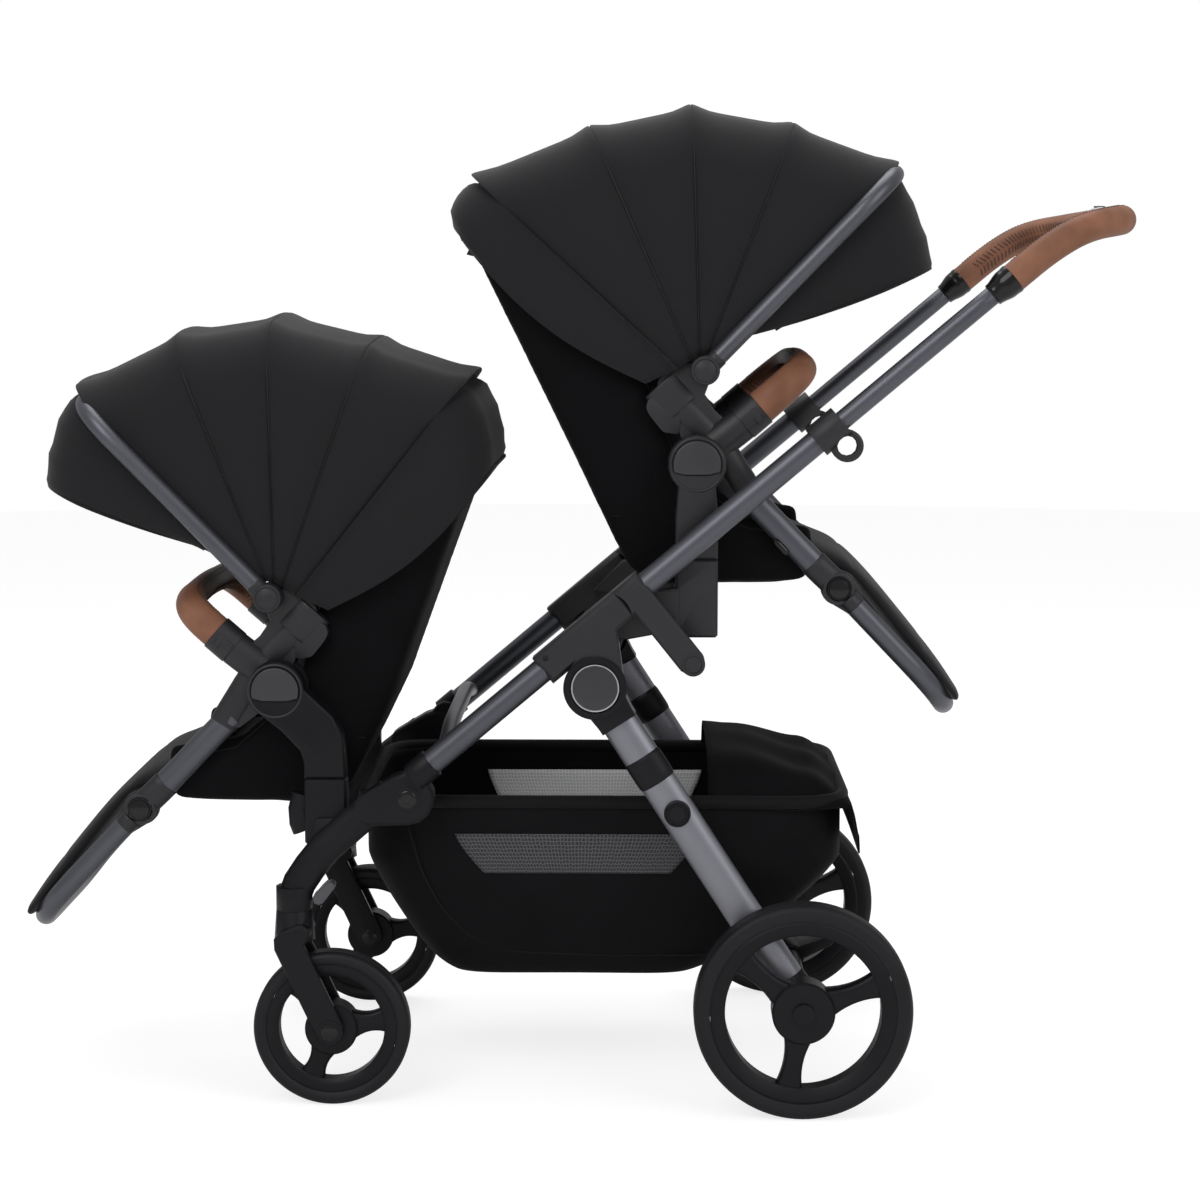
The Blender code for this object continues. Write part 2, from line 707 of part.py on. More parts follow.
def caster_fork(side):
    """The swivelling fork: crown, bridge over the tyre, two arms and the axle."""
    y = side * LEG_Y
    gap = FRONT_WHEEL_WIDTH / 2 + RUNNING_GAP * 2
    reach = gap + FORK_ARM_THICKNESS
    crown = rod((SWIVEL_X, y, CROWN_SEAM - 0.040), (SWIVEL_X, y, CROWN_SEAM), CROWN_RADIUS, STEM_RADIUS)
    pin = rod(
        (SWIVEL_X, y, CROWN_SEAM - JOIN), (SWIVEL_X, y, CROWN_SEAM + STEM_PIN_LENGTH),
        STEM_PIN_RADIUS, segments=BORE_ROUND,
    )
    head = (SWIVEL_X - 0.006, CROWN_SEAM - 0.040)
    bridge = plate(strap_outline(head, (head[0] + 0.016, head[1] + 0.012), 0.018, 0.013),
                   y - reach, y + reach, 0.003)
    bodies = [crown, pin, bridge]
    for turn in (-1, 1):
        outline = strap_outline(head, FRONT_AXLE, 0.0185, FORK_ARM_RADIUS)
        bodies.append(plate(outline, y + turn * gap, y + turn * reach, 0.002))
        bodies.append(disc(FRONT_AXLE, y + turn * (reach - JOIN), y + turn * (reach + 0.0015), 0.0165))
    bodies.append(disc(FRONT_AXLE, y - gap - JOIN, y + gap + JOIN, AXLE_RADIUS, 16))
    return join(*bodies)


def tyre(centre, y, radius, inner, width):
    """A tyre with a rounded tread."""
    half = width / 2
    shoulder = radius - 0.007
    profile = [
        (inner, -half * 0.8), (shoulder, -half), (radius, -half * 0.45), (radius, half * 0.45),
        (shoulder, half), (inner, half * 0.8),
    ]
    obj = spin_profile(profile, centre, WHEEL_ROUND)
    obj.data.transform(Matrix.Translation((0, y, 0)))
    return obj


def rim(centre, y, radii, width, bore, first_spoke):
    """A rim with a bored hub and three wide spokes."""
    outer, window, hub = radii
    half = width / 2
    ring_half = half * 0.8
    lip = ring_half * 0.8
    profile = [(window, -lip), (outer, -ring_half), (outer, ring_half), (window, lip)]
    ring = spin_profile(profile, centre, WHEEL_ROUND)
    bodies = [disc(centre, -half, half, hub, BORE_ROUND)]
    for i in range(3):
        angle = first_spoke + i * 2 * math.pi / 3
        start = Vector((*polar((0, 0), hub * 0.6, angle), 0))
        end = Vector((*polar((0, 0), (window + outer) / 2, angle), 0))
        length = (end - start).length
        deep, wide = SPOKE_THICKNESS / 2, SPOKE_WIDTH / 2
        spoke = box((0, -deep, -wide), (length, deep, wide))
        place_at = Matrix.Translation((centre[0] + start.x, 0, centre[1] + start.y))
        spoke.data.transform(place_at @ Matrix.Rotation(-angle, 4, "Y"))
        bodies.append(spoke)
    body = join(ring, *bodies)
    body = cut(body, disc(centre, -half - 0.01, half + 0.01, bore + FIT, 16))
    body.data.transform(Matrix.Translation((0, y, 0)))
    return body


def rear_leg(side):
    """The oval rear leg with its hinge tongue, fold clip and axle end."""
    y = side * FRAME_Y
    start = polar(REAR_PIVOT, REAR_LOBE_RADIUS + 0.004, REAR_LEG_ANGLE)
    end = polar(REAR_PIVOT, REAR_LEG_LENGTH + 0.020, REAR_LEG_ANGLE)
    bar = oval_bar([start, end], y, REAR_LEG_WIDTH, REAR_LEG_THICKNESS, 16)
    tongue_end = polar(REAR_PIVOT, REAR_LOBE_RADIUS + 0.030, REAR_LEG_ANGLE)
    tongue = plate(
        strap_outline(REAR_PIVOT, tongue_end, 0.024, 0.020), y - REAR_TONGUE / 2, y + REAR_TONGUE / 2
    )
    clip_low = polar(REAR_PIVOT, REAR_CLIP[1], REAR_LEG_ANGLE)
    clip_high = polar(REAR_PIVOT, REAR_CLIP[0], REAR_LEG_ANGLE)
    clip = oval_bar([clip_high, clip_low], y, REAR_LEG_WIDTH + 0.007, REAR_LEG_THICKNESS + 0.006, 16)
    stop_face = y + side * (REAR_LEG_THICKNESS / 2 + REAR_STOP_HEIGHT)
    stop = disc(polar(REAR_PIVOT, REAR_STOP_AT, REAR_LEG_ANGLE), y, stop_face, REAR_STOP_RADIUS)
    boss = disc(REAR_AXLE, y - REAR_LEG_THICKNESS / 2, y + REAR_LEG_THICKNESS / 2, REAR_BOSS_RADIUS)
    body = join(bar, tongue, clip, stop, boss)
    pivot_hole = disc(REAR_PIVOT, *lane(side, FRAME_Y - 0.03, FRAME_Y + 0.03), REAR_PIN_RADIUS + FIT, 16)
    axle_hole = disc(REAR_AXLE, *lane(side, FRAME_Y - 0.03, FRAME_Y + 0.03), STUB_RADIUS + FIT, 16)
    return cut(body, pivot_hole, axle_hole)


def rear_axle():
    """The cross tube between the rear legs, with a stub and a cap for each wheel."""
    reach = FRAME_Y - REAR_LEG_THICKNESS / 2 - FIT
    bodies = [disc(REAR_AXLE, -reach, reach, AXLE_TUBE_RADIUS, AXLE_ROUND)]
    outer = REAR_WHEEL_Y + REAR_WHEEL_WIDTH / 2
    for side in (-1, 1):
        bodies.append(disc(REAR_AXLE, side * (reach - JOIN), side * (outer + JOIN), STUB_RADIUS, 16))
        bodies.append(disc(REAR_AXLE, side * (outer + FIT), side * (outer + 0.004), AXLE_CAP_RADIUS))
    return join(*bodies)


def brake_pedal():
    """The foot pedal that turns on the rear axle tube."""
    half = PEDAL_WIDTH / 2
    ring = disc(REAR_AXLE, -half, half, AXLE_TUBE_RADIUS + 0.006)
    tread = (REAR_AXLE[0] + PEDAL_REACH, REAR_AXLE[1] + 0.022)
    paddle = plate(strap_outline(REAR_AXLE, tread, 0.010, 0.006), -half, half, 0.001)
    body = join(ring, paddle)
    return cut(body, disc(REAR_AXLE, -half - 0.01, half + 0.01, AXLE_TUBE_RADIUS + FIT, AXLE_ROUND))


def handle_tube(side):
    """The outer handle tube, bored for the telescopic tube."""
    y = side * FRAME_Y
    outer = rod(place(HINGE_RADIUS + 0.014, y), place(CLAMP_END - CLAMP_LIP, y), HANDLE_TUBE_RADIUS)
    bore = rod(place(BORE_START, y), place(CLAMP_END + 0.01, y), INNER_TUBE_RADIUS + FIT)
    return cut(outer, bore)


def ring_clamp(side):
    """The clamp on the outer tube's end, with the accessory eye below it."""
    y = side * FRAME_Y
    clamp = rod(place(CLAMP_START, y), place(CLAMP_END, y), CLAMP_RADIUS, segments=BORE_ROUND)
    eye_place = along((CLAMP_START + CLAMP_END) / 2 + EYE_ADVANCE, -EYE_DROP)
    eye = disc(eye_place, y - EYE_THICKNESS / 2, y + EYE_THICKNESS / 2, EYE_OUTER, BORE_ROUND)
    seat = rod(
        place(CLAMP_START - 0.01, y), place(CLAMP_END - CLAMP_LIP + FIT, y), HANDLE_TUBE_RADIUS + FIT
    )
    bore = rod(place(CLAMP_START, y), place(CLAMP_END + 0.01, y), INNER_TUBE_RADIUS + FIT)
    hole = disc(eye_place, y - EYE_THICKNESS, y + EYE_THICKNESS, EYE_INNER)
    return cut(join(clamp, eye), seat, bore, hole)


def hinge_arm(side):
    """The collar on the handle tube's foot, with its hinge tongue and the fold stand's arm."""
    y = side * FRAME_Y
    collar = plate(
        [along(0.010, SLEEVE_HALF), along(0.010, -SLEEVE_HALF), along(COLLAR_END, -SLEEVE_HALF),
         along(COLLAR_END, SLEEVE_HALF)],
        side * HUB_INNER, side * HUB_OUTER, bevel=0.006,
    )
    root = along((HINGE_RADIUS + COLLAR_END) / 2, -0.004)
    arm = plate(
        strap_outline(root, STAND_TIP, STAND_RADIUS, STAND_RADIUS),
        side * (HUB_OUTER - STAND_THICKNESS), side * HUB_OUTER, bevel=0.003,
    )
    hollow = disc(
        HANDLE_PIVOT, *lane(side, HUB_INNER - 0.01, HUB_OUTER + 0.01), HINGE_RADIUS, segments=32
    )
    body = cut(join(collar, arm), hollow)
    tongue = plate(
        strap_outline(HANDLE_PIVOT, along(HINGE_RADIUS + 0.006), 0.014, 0.012),
        y - HINGE_TONGUE / 2, y + HINGE_TONGUE / 2,
    )
    body = join(body, tongue)
    pin_hole = disc(HANDLE_PIVOT, y - 0.03, y + 0.03, HINGE_PIN_RADIUS + FIT, 16)
    tube_bore = rod(
        place(HINGE_RADIUS + 0.014 - FIT, y), place(COLLAR_END + 0.05, y), HANDLE_TUBE_RADIUS + FIT
    )
    return cut(body, pin_hole, tube_bore)


def grip_path():
    """The U of the push handle, from collar to collar."""
    start = along(GRIP_COLLAR_END + FIT)
    knee = along(GRIP_COLLAR_END + 0.060)
    y = FRAME_Y
    near = [
        (start[0], -y, start[1]), (knee[0], -y, knee[1]), (GRIP_REACH - 0.060, -y, GRIP_HEIGHT - 0.010),
        (GRIP_REACH, -y + GRIP_CORNER_INSET, GRIP_HEIGHT),
    ]
    far = [(x, -v, z) for x, v, z in reversed(near)]
    return rounded_path(near + far, 0.055)


def handle_bar():
    """The two telescopic inner tubes, their end collars and the core bar inside the grip."""
    bodies = []
    for side in (-1, 1):
        y = side * FRAME_Y
        bodies.append(rod(place(INNER_TUBE_START, y), place(GRIP_COLLAR_END, y), INNER_TUBE_RADIUS))
        bodies.append(rod(place(GRIP_COLLAR_START, y), place(GRIP_COLLAR_END, y), GRIP_COLLAR_RADIUS))
    path = grip_path()
    path[0] = path[0] - (path[1] - path[0]).normalized() * 0.006
    path[-1] = path[-1] - (path[-2] - path[-1]).normalized() * 0.006
    bodies.append(tube(path, GRIP_CORE_RADIUS))
    return join(*bodies)


def trigger_box(extra, height_from, height_to):
    """The block that the fold trigger fills on the grip's crown."""
    half = TRIGGER_LENGTH / 2 + extra
    wide = TRIGGER_WIDTH / 2 + extra
    low = (GRIP_REACH - wide, -half, GRIP_HEIGHT + height_from)
    high = (GRIP_REACH + wide, half, GRIP_HEIGHT + height_to)
    return box(low, high)


def handle_grip():
    """The padded grip over the core bar, with a pocket for the fold trigger."""
    path = grip_path()
    outer = tube(path, GRIP_RADIUS)
    longer = list(path)
    longer[0] = path[0] - (path[1] - path[0]).normalized() * 0.02
    longer[-1] = path[-1] - (path[-2] - path[-1]).normalized() * 0.02
    inner = tube(longer, GRIP_CORE_RADIUS + 0.0006)
    pocket = trigger_box(FIT, GRIP_CORE_RADIUS * 0.5, GRIP_RADIUS + 0.02)
    return cut(outer, inner, pocket)


def fold_trigger():
    """The sliding trigger in the middle of the push handle."""
    floor = GRIP_CORE_RADIUS + 0.0006 + TRIGGER_TRAVEL + FIT
    return trigger_box(0.0, floor, GRIP_RADIUS + 0.002)


def basket_rail_path(front, rear, half_width, height, corner):
    """The rounded rectangle that the basket hangs from."""
    corners = [
        (front, -half_width, height), (rear, -half_width, height), (rear, half_width, height),
        (front, half_width, height),
    ]
    return rounded_path(corners, corner, 3, closed=True)


def basket_frame():
    """The basket's rail loop, with a hanger to each front knuckle."""
    path = basket_rail_path(BASKET_FRONT, BASKET_REAR, BASKET_HALF_WIDTH, BASKET_RIM_HEIGHT, 0.07)
    rail = tube(path, BASKET_RAIL_RADIUS, closed=True)
    lugs = []
    for side in (-1, 1):
        inner = side * (BASKET_HALF_WIDTH - BASKET_RAIL_RADIUS / 2)
        outer = side * (LEG_Y - LEG_THICKNESS / 2 - FIT)
        hanger = strap_outline(
            (KNUCKLE[0], BASKET_RIM_HEIGHT), KNUCKLE, BASKET_RAIL_RADIUS * 0.97, BASKET_RAIL_RADIUS
        )
        lugs.append(plate(hanger, inner, outer))
    return join(rail, *lugs)


def basket():
    """The fabric basket: an open bag that widens towards its rim."""
    top = BASKET_RIM_HEIGHT - BASKET_RAIL_RADIUS - FIT
    corner = 0.06

    def ring(front, rear, half_width, height):
        return [Vector(p) for p in basket_rail_path(front, rear, half_width, height, corner)]

    middle = (BASKET_FLOOR_HEIGHT + top) / 2
    front = BASKET_FLOOR_FRONT + (BASKET_FRONT - BASKET_FLOOR_FRONT) * BASKET_BULGE
    rear = BASKET_FLOOR_REAR + (BASKET_REAR - BASKET_FLOOR_REAR) * BASKET_BULGE
    half = BASKET_HALF_WIDTH * 0.97
    outer = loft([
        ring(BASKET_FLOOR_FRONT, BASKET_FLOOR_REAR, BASKET_FLOOR_HALF_WIDTH, BASKET_FLOOR_HEIGHT),
        ring(front, rear, half, middle),
        ring(BASKET_FRONT, BASKET_REAR, BASKET_HALF_WIDTH, top),
    ])
    wall = BASKET_WALL
    inner = loft([
        ring(BASKET_FLOOR_FRONT + wall, BASKET_FLOOR_REAR - wall, BASKET_FLOOR_HALF_WIDTH - wall,
             BASKET_FLOOR_HEIGHT + wall),
        ring(front + wall, rear - wall, half - wall, middle),
        ring(BASKET_FRONT + wall, BASKET_REAR - wall, BASKET_HALF_WIDTH - wall, top + 0.01),
    ])
    return cut(outer, inner)


def adapter(side, seat, socket):
    """The removable post between a socket and a seat's pivot disc."""
    half = ADAPTER_WIDTH / 2
    seam = socket[2] + FIT
    shift = socket[0] - seat[0]
    drop = seat[1] - seam
    head_steps = 14
    if abs(shift) < half:
        outline = arc(seat, ADAPTER_HEAD_RADIUS, math.radians(-50), math.radians(230), head_steps)
        outline += [(socket[0] - half, seat[1] - drop * 0.55), (socket[0] - half, seam)]
        outline += [(socket[0] + half, seam), (socket[0] + half, seat[1] - drop * 0.55)]
    else:
        outline = arc(seat, ADAPTER_HEAD_RADIUS, math.radians(2), math.radians(225), head_steps)
        outline += [
            (seat[0] + shift * 0.11, seat[1] - drop * 0.46),
            (socket[0] - half - 0.005, seat[1] - drop * 0.68),
            (socket[0] - half, seat[1] - drop * 0.82), (socket[0] - half, seam),
            (socket[0] + half, seam), (socket[0] + half - 0.003, seat[1] - drop * 0.52),
            (seat[0] + shift * 1.18, seat[1] - drop * 0.29),
        ]
    post = plate(outline, side * ADAPTER_INNER, side * ADAPTER_OUTER, 0.003)
    spigot = box(
        (socket[0] - SPIGOT_WIDTH / 2, -SPIGOT_THICKNESS / 2, socket[2] - SPIGOT_LENGTH),
        (socket[0] + SPIGOT_WIDTH / 2, SPIGOT_THICKNESS / 2, seam + JOIN),
    )
    spigot.data.transform(Matrix.Translation((0, side * ADAPTER_Y, 0)))
    body = join(post, spigot)
    pocket = plate(
        half_moon(seat, BUTTON_RADIUS + FIT, FIT),
        side * (ADAPTER_OUTER - BUTTON_POCKET), side * (ADAPTER_OUTER + 0.01),
    )
    return cut(body, pocket)


def half_moon(centre, radius, extra):
    """The release button's outline: a disc without its lower part."""
    chord = math.radians(-18)
    outline = arc(centre, radius, chord, math.pi - chord, 16)
    sag = radius * 0.42 + extra
    return outline + [
        (centre[0] - radius * 0.5, centre[1] - sag), (centre[0] + radius * 0.5, centre[1] - sag),
    ]


def release_button(side, seat):
    """The half-moon button that frees a seat from its adapter."""
    back = ADAPTER_OUTER - BUTTON_POCKET + TRIGGER_TRAVEL + FIT
    front = min(back + BUTTON_HEIGHT, HUB_INNER - FIT)
    return plate(half_moon(seat, BUTTON_RADIUS, 0.0), side * back, side * front, 0.001)


def seat_frame():
    """Both side hubs, the tubes to the leg rest and the bar under the seat, as one rigid frame."""
    bodies = []
    tube_y = SEAT_HUB_Y
    origin = (0.0, 0.0)
    heading = math.atan2(LEGREST_PIVOT[1], LEGREST_PIVOT[0])
    reach = math.hypot(*LEGREST_PIVOT)
    tube_end = polar(origin, reach - LEGREST_KNUCKLE_RADIUS - 0.006, heading)
    for side in (-1, 1):
        inner, outer = lane(side, SEAT_HUB_INNER, SEAT_HUB_OUTER)
        y = side * tube_y
        bodies.append(disc(origin, inner, outer, SEAT_HUB_RADIUS, BORE_ROUND))
        bodies.append(plate(strap_outline(origin, HOOD_PIVOT, 0.018, HOOD_ARM_RADIUS), inner, outer))
        bodies.append(plate(SEAT_ARM, inner, outer))
        bodies.append(rod((0.02, y, 0.02), (STUB_END[0], y, STUB_END[1]), STUB_RADIUS_BUMPER * 0.6))
        sleeve_end = polar(origin, SEAT_SLEEVE_LENGTH, heading)
        bodies.append(plate(strap_outline(origin, sleeve_end, 0.026, 0.0165), inner, outer))
        tube_start = polar(origin, SEAT_TUBE_START, heading)
        bodies.append(
            rod((tube_start[0], y, tube_start[1]), (tube_end[0], y, tube_end[1]), SEAT_TUBE_RADIUS)
        )
        cheek_start = polar(origin, reach - 0.050, heading)
        cheek = strap_outline(cheek_start, LEGREST_PIVOT, 0.014, LEGREST_KNUCKLE_RADIUS)
        bodies.append(plate(cheek, side * (tube_y + FIT), outer))
        bodies.append(disc(LEGREST_PIVOT, outer - side * JOIN, outer + side * 0.002, 0.016))
        bodies.append(disc(LEGREST_PIVOT, side * (SEAT_HUB_INNER + FIT), outer - side * JOIN,
                           LEGREST_PIN_RADIUS))
        pin_end = side * (BOW_Y + HOOD_PIN_REACH)
        bodies.append(disc(HOOD_PIVOT, outer - side * JOIN, pin_end, HOOD_PIN_RADIUS))
    under = polar(origin, reach - 0.062, heading)
    under_low = SEAT_FLOOR - 0.012
    corners = [
        (under[0], -tube_y, under[1]), (under[0], -tube_y, under_low), (under[0], tube_y, under_low),
        (under[0], tube_y, under[1]),
    ]
    bodies.append(tube(rounded_path(corners, 0.03), 0.008))
    return join(*bodies)


def shell_outline():
    """The bucket's side view with its side wings."""
    return [
        BACK_TOP, BACK_LOW, (BACK_LOW[0] + 0.022, SEAT_FLOOR + 0.022), (BACK_LOW[0] + 0.050, SEAT_FLOOR),
        (SEAT_FRONT - 0.012, SEAT_FLOOR), (SEAT_FRONT, SEAT_FLOOR + 0.012), (SEAT_FRONT, SEAT_FLOOR + 0.062),
        *WING_LINE,
        (BACK_TOP[0] + 0.040, BACK_TOP[1] + 0.016),
    ]


def back_offset(distance, down=0.0):
    """A point on the line in front of the back, measured from the back's foot."""
    back = Vector((BACK_TOP[0] - BACK_LOW[0], BACK_TOP[1] - BACK_LOW[1]))
    heading = back.normalized()
    normal = Vector((heading.y, -heading.x))
    return Vector(BACK_LOW) + normal * distance + heading * down


def inner_line(distance, floor):
    """The two ends of a line in front of the back: at a floor height, and above the back's top."""
    back = Vector((BACK_TOP[0] - BACK_LOW[0], BACK_TOP[1] - BACK_LOW[1]))
    heading = back.normalized()
    foot = back_offset(distance)
    foot = foot + heading * ((floor - foot.y) / heading.y)
    top = back_offset(distance, back.length)
    return foot, top


def seat_shell():
    """The fabric bucket: back, floor and side wings."""
    outer = plate(shell_outline(), -SHELL_HALF_WIDTH, SHELL_HALF_WIDTH, 0.004)
    floor = SEAT_FLOOR + SHELL_FLOOR
    foot, top = inner_line(SHELL_WALL, floor)
    heading = (top - foot).normalized()
    top = top + heading * 0.08
    inside = [tuple(top), tuple(foot), (SEAT_FRONT + 0.05, floor), (SEAT_FRONT + 0.05, top.y)]
    half = SHELL_HALF_WIDTH - SHELL_WALL
    return cut(outer, plate(inside, -half, half))


def seat_pad():
    """The padded liner on the bucket's back and floor."""
    floor = SEAT_FLOOR + SHELL_FLOOR + FIT
    back_gap = SHELL_WALL + FIT
    foot, top = inner_line(back_gap, floor)
    front_foot, front_top = inner_line(back_gap + PAD_THICKNESS, floor + PAD_THICKNESS)
    heading = (top - foot).normalized()
    outline = [
        tuple(top - heading * 0.012), tuple(foot), (SEAT_FRONT - 0.010, floor),
        (SEAT_FRONT - 0.004, floor + PAD_THICKNESS * 0.5), (SEAT_FRONT - 0.014, floor + PAD_THICKNESS),
        tuple(front_foot), tuple(front_top - heading * 0.030),
    ]
    half = SHELL_HALF_WIDTH - SHELL_WALL - FIT
    return plate(outline, -half, half, 0.006)


def legrest_frame():
    """The leg rest's loop and its two hinge tongues."""
    bodies = []
    start = polar(LEGREST_PIVOT, LEGREST_KNUCKLE_RADIUS + 0.004, LEGREST_ANGLE)
    bend = polar(LEGREST_PIVOT, LEGREST_LENGTH * 0.80, LEGREST_ANGLE)
    end = polar(LEGREST_PIVOT, LEGREST_LENGTH, LEGREST_ANGLE - math.radians(1.5))
    y = SEAT_HUB_INNER + LEGREST_TUBE_RADIUS
    near = [(start[0], -y, start[1]), (bend[0], -y + 0.010, bend[1]), (end[0], -y + 0.062, end[1])]
    far = [(x, -v, z) for x, v, z in reversed(near)]
    loop = tube(rounded_path(near + far, 0.05), LEGREST_TUBE_RADIUS)
    for side in (-1, 1):
        inner = SEAT_HUB_INNER + FIT
        outer = SEAT_HUB_Y - FIT
        outline = strap_outline(
            LEGREST_PIVOT, polar(LEGREST_PIVOT, 0.046, LEGREST_ANGLE), LEGREST_KNUCKLE_RADIUS, 0.014
        )
        bodies.append(plate(outline, side * inner, side * outer, 0.001))
    body = join(loop, *bodies)
    holes = [
        disc(LEGREST_PIVOT, *lane(side, SEAT_HUB_INNER - 0.01, SEAT_HUB_OUTER + 0.01),
             LEGREST_PIN_RADIUS + FIT, 12)
        for side in (-1, 1)
    ]
    return cut(body, *holes)


def legrest_pad():
    """The calf cushion between the leg rest's tubes."""
    far = LEGREST_LENGTH - LEGREST_TUBE_RADIUS - 2 * LANE_GAP
    across = LEGREST_ANGLE + math.pi / 2
    profile = list(LEGREST_PAD_PROFILE)
    profile += [(far, LEGREST_PAD_PROFILE[-1][1] * 0.5), (far, -LEGREST_PAD_UNDER)]
    profile.append((LEGREST_PAD_PROFILE[0][0], -LEGREST_PAD_UNDER))
    outline = [polar(polar(LEGREST_PIVOT, d, LEGREST_ANGLE), h, across) for d, h in profile]
    return plate(outline, -LEGREST_PAD_HALF_WIDTH, LEGREST_PAD_HALF_WIDTH, 0.004)


def bumper_bar():
    """The arched bumper bar with a plug at each end."""
    start = Vector((STUB_END[0], SEAT_HUB_Y, STUB_END[1]))
    heading = Vector((0.02 - STUB_END[0], 0, 0.02 - STUB_END[1])).normalized() * -1
    y = SEAT_HUB_Y
    reach = Vector((BUMPER_REACH[0], y, BUMPER_REACH[1]))
    first = start + heading * FIT
    near = [
        (first.x, -y, first.z),
        (first.x + heading.x * BUMPER_STRAIGHT, -y, first.z + heading.z * BUMPER_STRAIGHT),
        (reach.x, -y + BUMPER_CORNER, reach.z), (reach.x + 0.004, 0.0, reach.z + 0.002),
    ]
    far = [(x, -v, z) for x, v, z in reversed(near[:-1])]
    return tube(rounded_path(near + far, BUMPER_CORNER), BUMPER_RADIUS)


def hood_profile(radius, half_width):
    """The closed (radius, y) profile of a thin hood panel that bridges both sides."""
    inner_radius = HOOD_ARM_RADIUS + FIT
    corner = HOOD_CORNER

    def side_line(r, w, corner_now):
        points = [(inner_radius, w)]
        for i in range(CORNER_STEPS + 1):
            angle = math.pi / 2 * i / CORNER_STEPS
            points.append((r - corner_now * (1 - math.sin(angle)), w - corner_now * (1 - math.cos(angle))))
        return points

    outside = side_line(radius, half_width, corner)
    inside = side_line(radius - HOOD_WALL, half_width - HOOD_WALL, corner - HOOD_WALL)
    top_outside = [(r, -y) for r, y in reversed(outside)]
    top_inside = [(r, -y) for r, y in reversed(inside)]
    return outside + top_outside + list(reversed(inside + top_inside))


def hood_panel(level, start, end):
    """One fabric panel of the hood, nested inside the panel behind it."""
    step = level * (HOOD_WALL + HOOD_STEP)
    half_width = SEAT_HUB_OUTER - FIT - level * (HOOD_WALL + RUNNING_GAP)
    profile = hood_profile(HOOD_RADIUS - step, half_width)
    return spin_profile(profile, HOOD_PIVOT, HOOD_STEPS, start, end - start)


def hood_rear(start):
    """The fixed rear panel, with the side wings that close the gap to the back."""
    panel = hood_panel(0, start, HOOD_REAR_ANGLE)
    outer = SEAT_HUB_OUTER - FIT * 2
    inner = outer - HOOD_WALL + FIT * 2
    reach = HOOD_RADIUS - HOOD_CORNER
    overlap = math.radians(6)
    outline = [
        polar(HOOD_PIVOT, HOOD_ARM_RADIUS + JOIN * 2, HOOD_REAR_ANGLE - overlap),
        polar(HOOD_PIVOT, reach, HOOD_REAR_ANGLE - overlap), polar(HOOD_PIVOT, reach, HOOD_REAR_ANGLE),
        *HOOD_WING,
    ]
    return join(panel, *[plate(outline, side * inner, side * outer) for side in (-1, 1)])


def hood_bow():
    """The hood's front bow, with an eye on each hinge."""
    y = BOW_Y
    start = polar(HOOD_PIVOT, BOW_EYE_RADIUS * 0.5, BOW_ANGLE)
    end = polar(HOOD_PIVOT, HOOD_RADIUS + BOW_TUBE_RADIUS * 0.5, BOW_ANGLE)
    corners = [(start[0], -y, start[1]), (end[0], -y, end[1]), (end[0], y, end[1]), (start[0], y, start[1])]
    bodies = [tube(rounded_path(corners, 0.09, 6), BOW_TUBE_RADIUS)]
    for side in (-1, 1):
        eye_lane = lane(side, SEAT_HUB_OUTER + FIT, BOW_Y + BOW_TUBE_RADIUS)
        bodies.append(disc(HOOD_PIVOT, *eye_lane, BOW_EYE_RADIUS))
    body = join(*bodies)
    holes = [
        disc(HOOD_PIVOT, *lane(side, SEAT_HUB_OUTER - 0.01, BOW_Y + HOOD_PIN_REACH + FIT),
             HOOD_PIN_RADIUS + FIT)
        for side in (-1, 1)
    ]
    return cut(body, *holes)


def build_seat_pieces():
    """The seat's bodies, written once in the seat frame: name, body, material, pivot name."""
    split = (HOOD_REAR_ANGLE - BOW_ANGLE) / 3
    mid_start = BOW_ANGLE + split
    rear_start = BOW_ANGLE + split * 2
    return [
        ("seat_frame", seat_frame(), "gunmetal", "seat"),
        ("seat_shell", seat_shell(), "fabric", "seat"),
        ("seat_pad", seat_pad(), "fabric", "seat"),
        ("bumper_bar", bumper_bar(), "leather", "bumper"),
        ("legrest_frame", legrest_frame(), "gunmetal", "legrest"),
        ("legrest_pad", legrest_pad(), "fabric", "legrest"),
        ("hood_rear", hood_rear(rear_start), "fabric", "seat"),
        ("hood_mid", hood_panel(1, mid_start, rear_start + SHELL_OVERLAP), "fabric", "hood_mid"),
        ("hood_front", hood_panel(2, VISOR_ANGLE, mid_start + SHELL_OVERLAP), "fabric", "hood"),
        ("hood_bow", hood_bow(), "gunmetal", "hood"),
    ]


def seat_pivots(prefix, seat, turn):
    """The empties on one seat's joint axes."""
    root = Pivot(prefix + "_seat_axis", (seat[0], 0, seat[1]), turn=turn, frame_place=(0, 0, 0))
    pivots = {"seat": root}
    pivots["bumper"] = Pivot(prefix + "_bumper_axis", (STUB_END[0], 0, STUB_END[1]), root)
    pivots["legrest"] = Pivot(prefix + "_legrest_axis", (LEGREST_PIVOT[0], 0, LEGREST_PIVOT[1]), root)
    pivots["hood"] = Pivot(prefix + "_hood_axis", (HOOD_PIVOT[0], 0, HOOD_PIVOT[1]), root)
    pivots["hood_mid"] = Pivot(prefix + "_hood_mid_axis", (HOOD_PIVOT[0], 0, HOOD_PIVOT[1]), root)
    return pivots


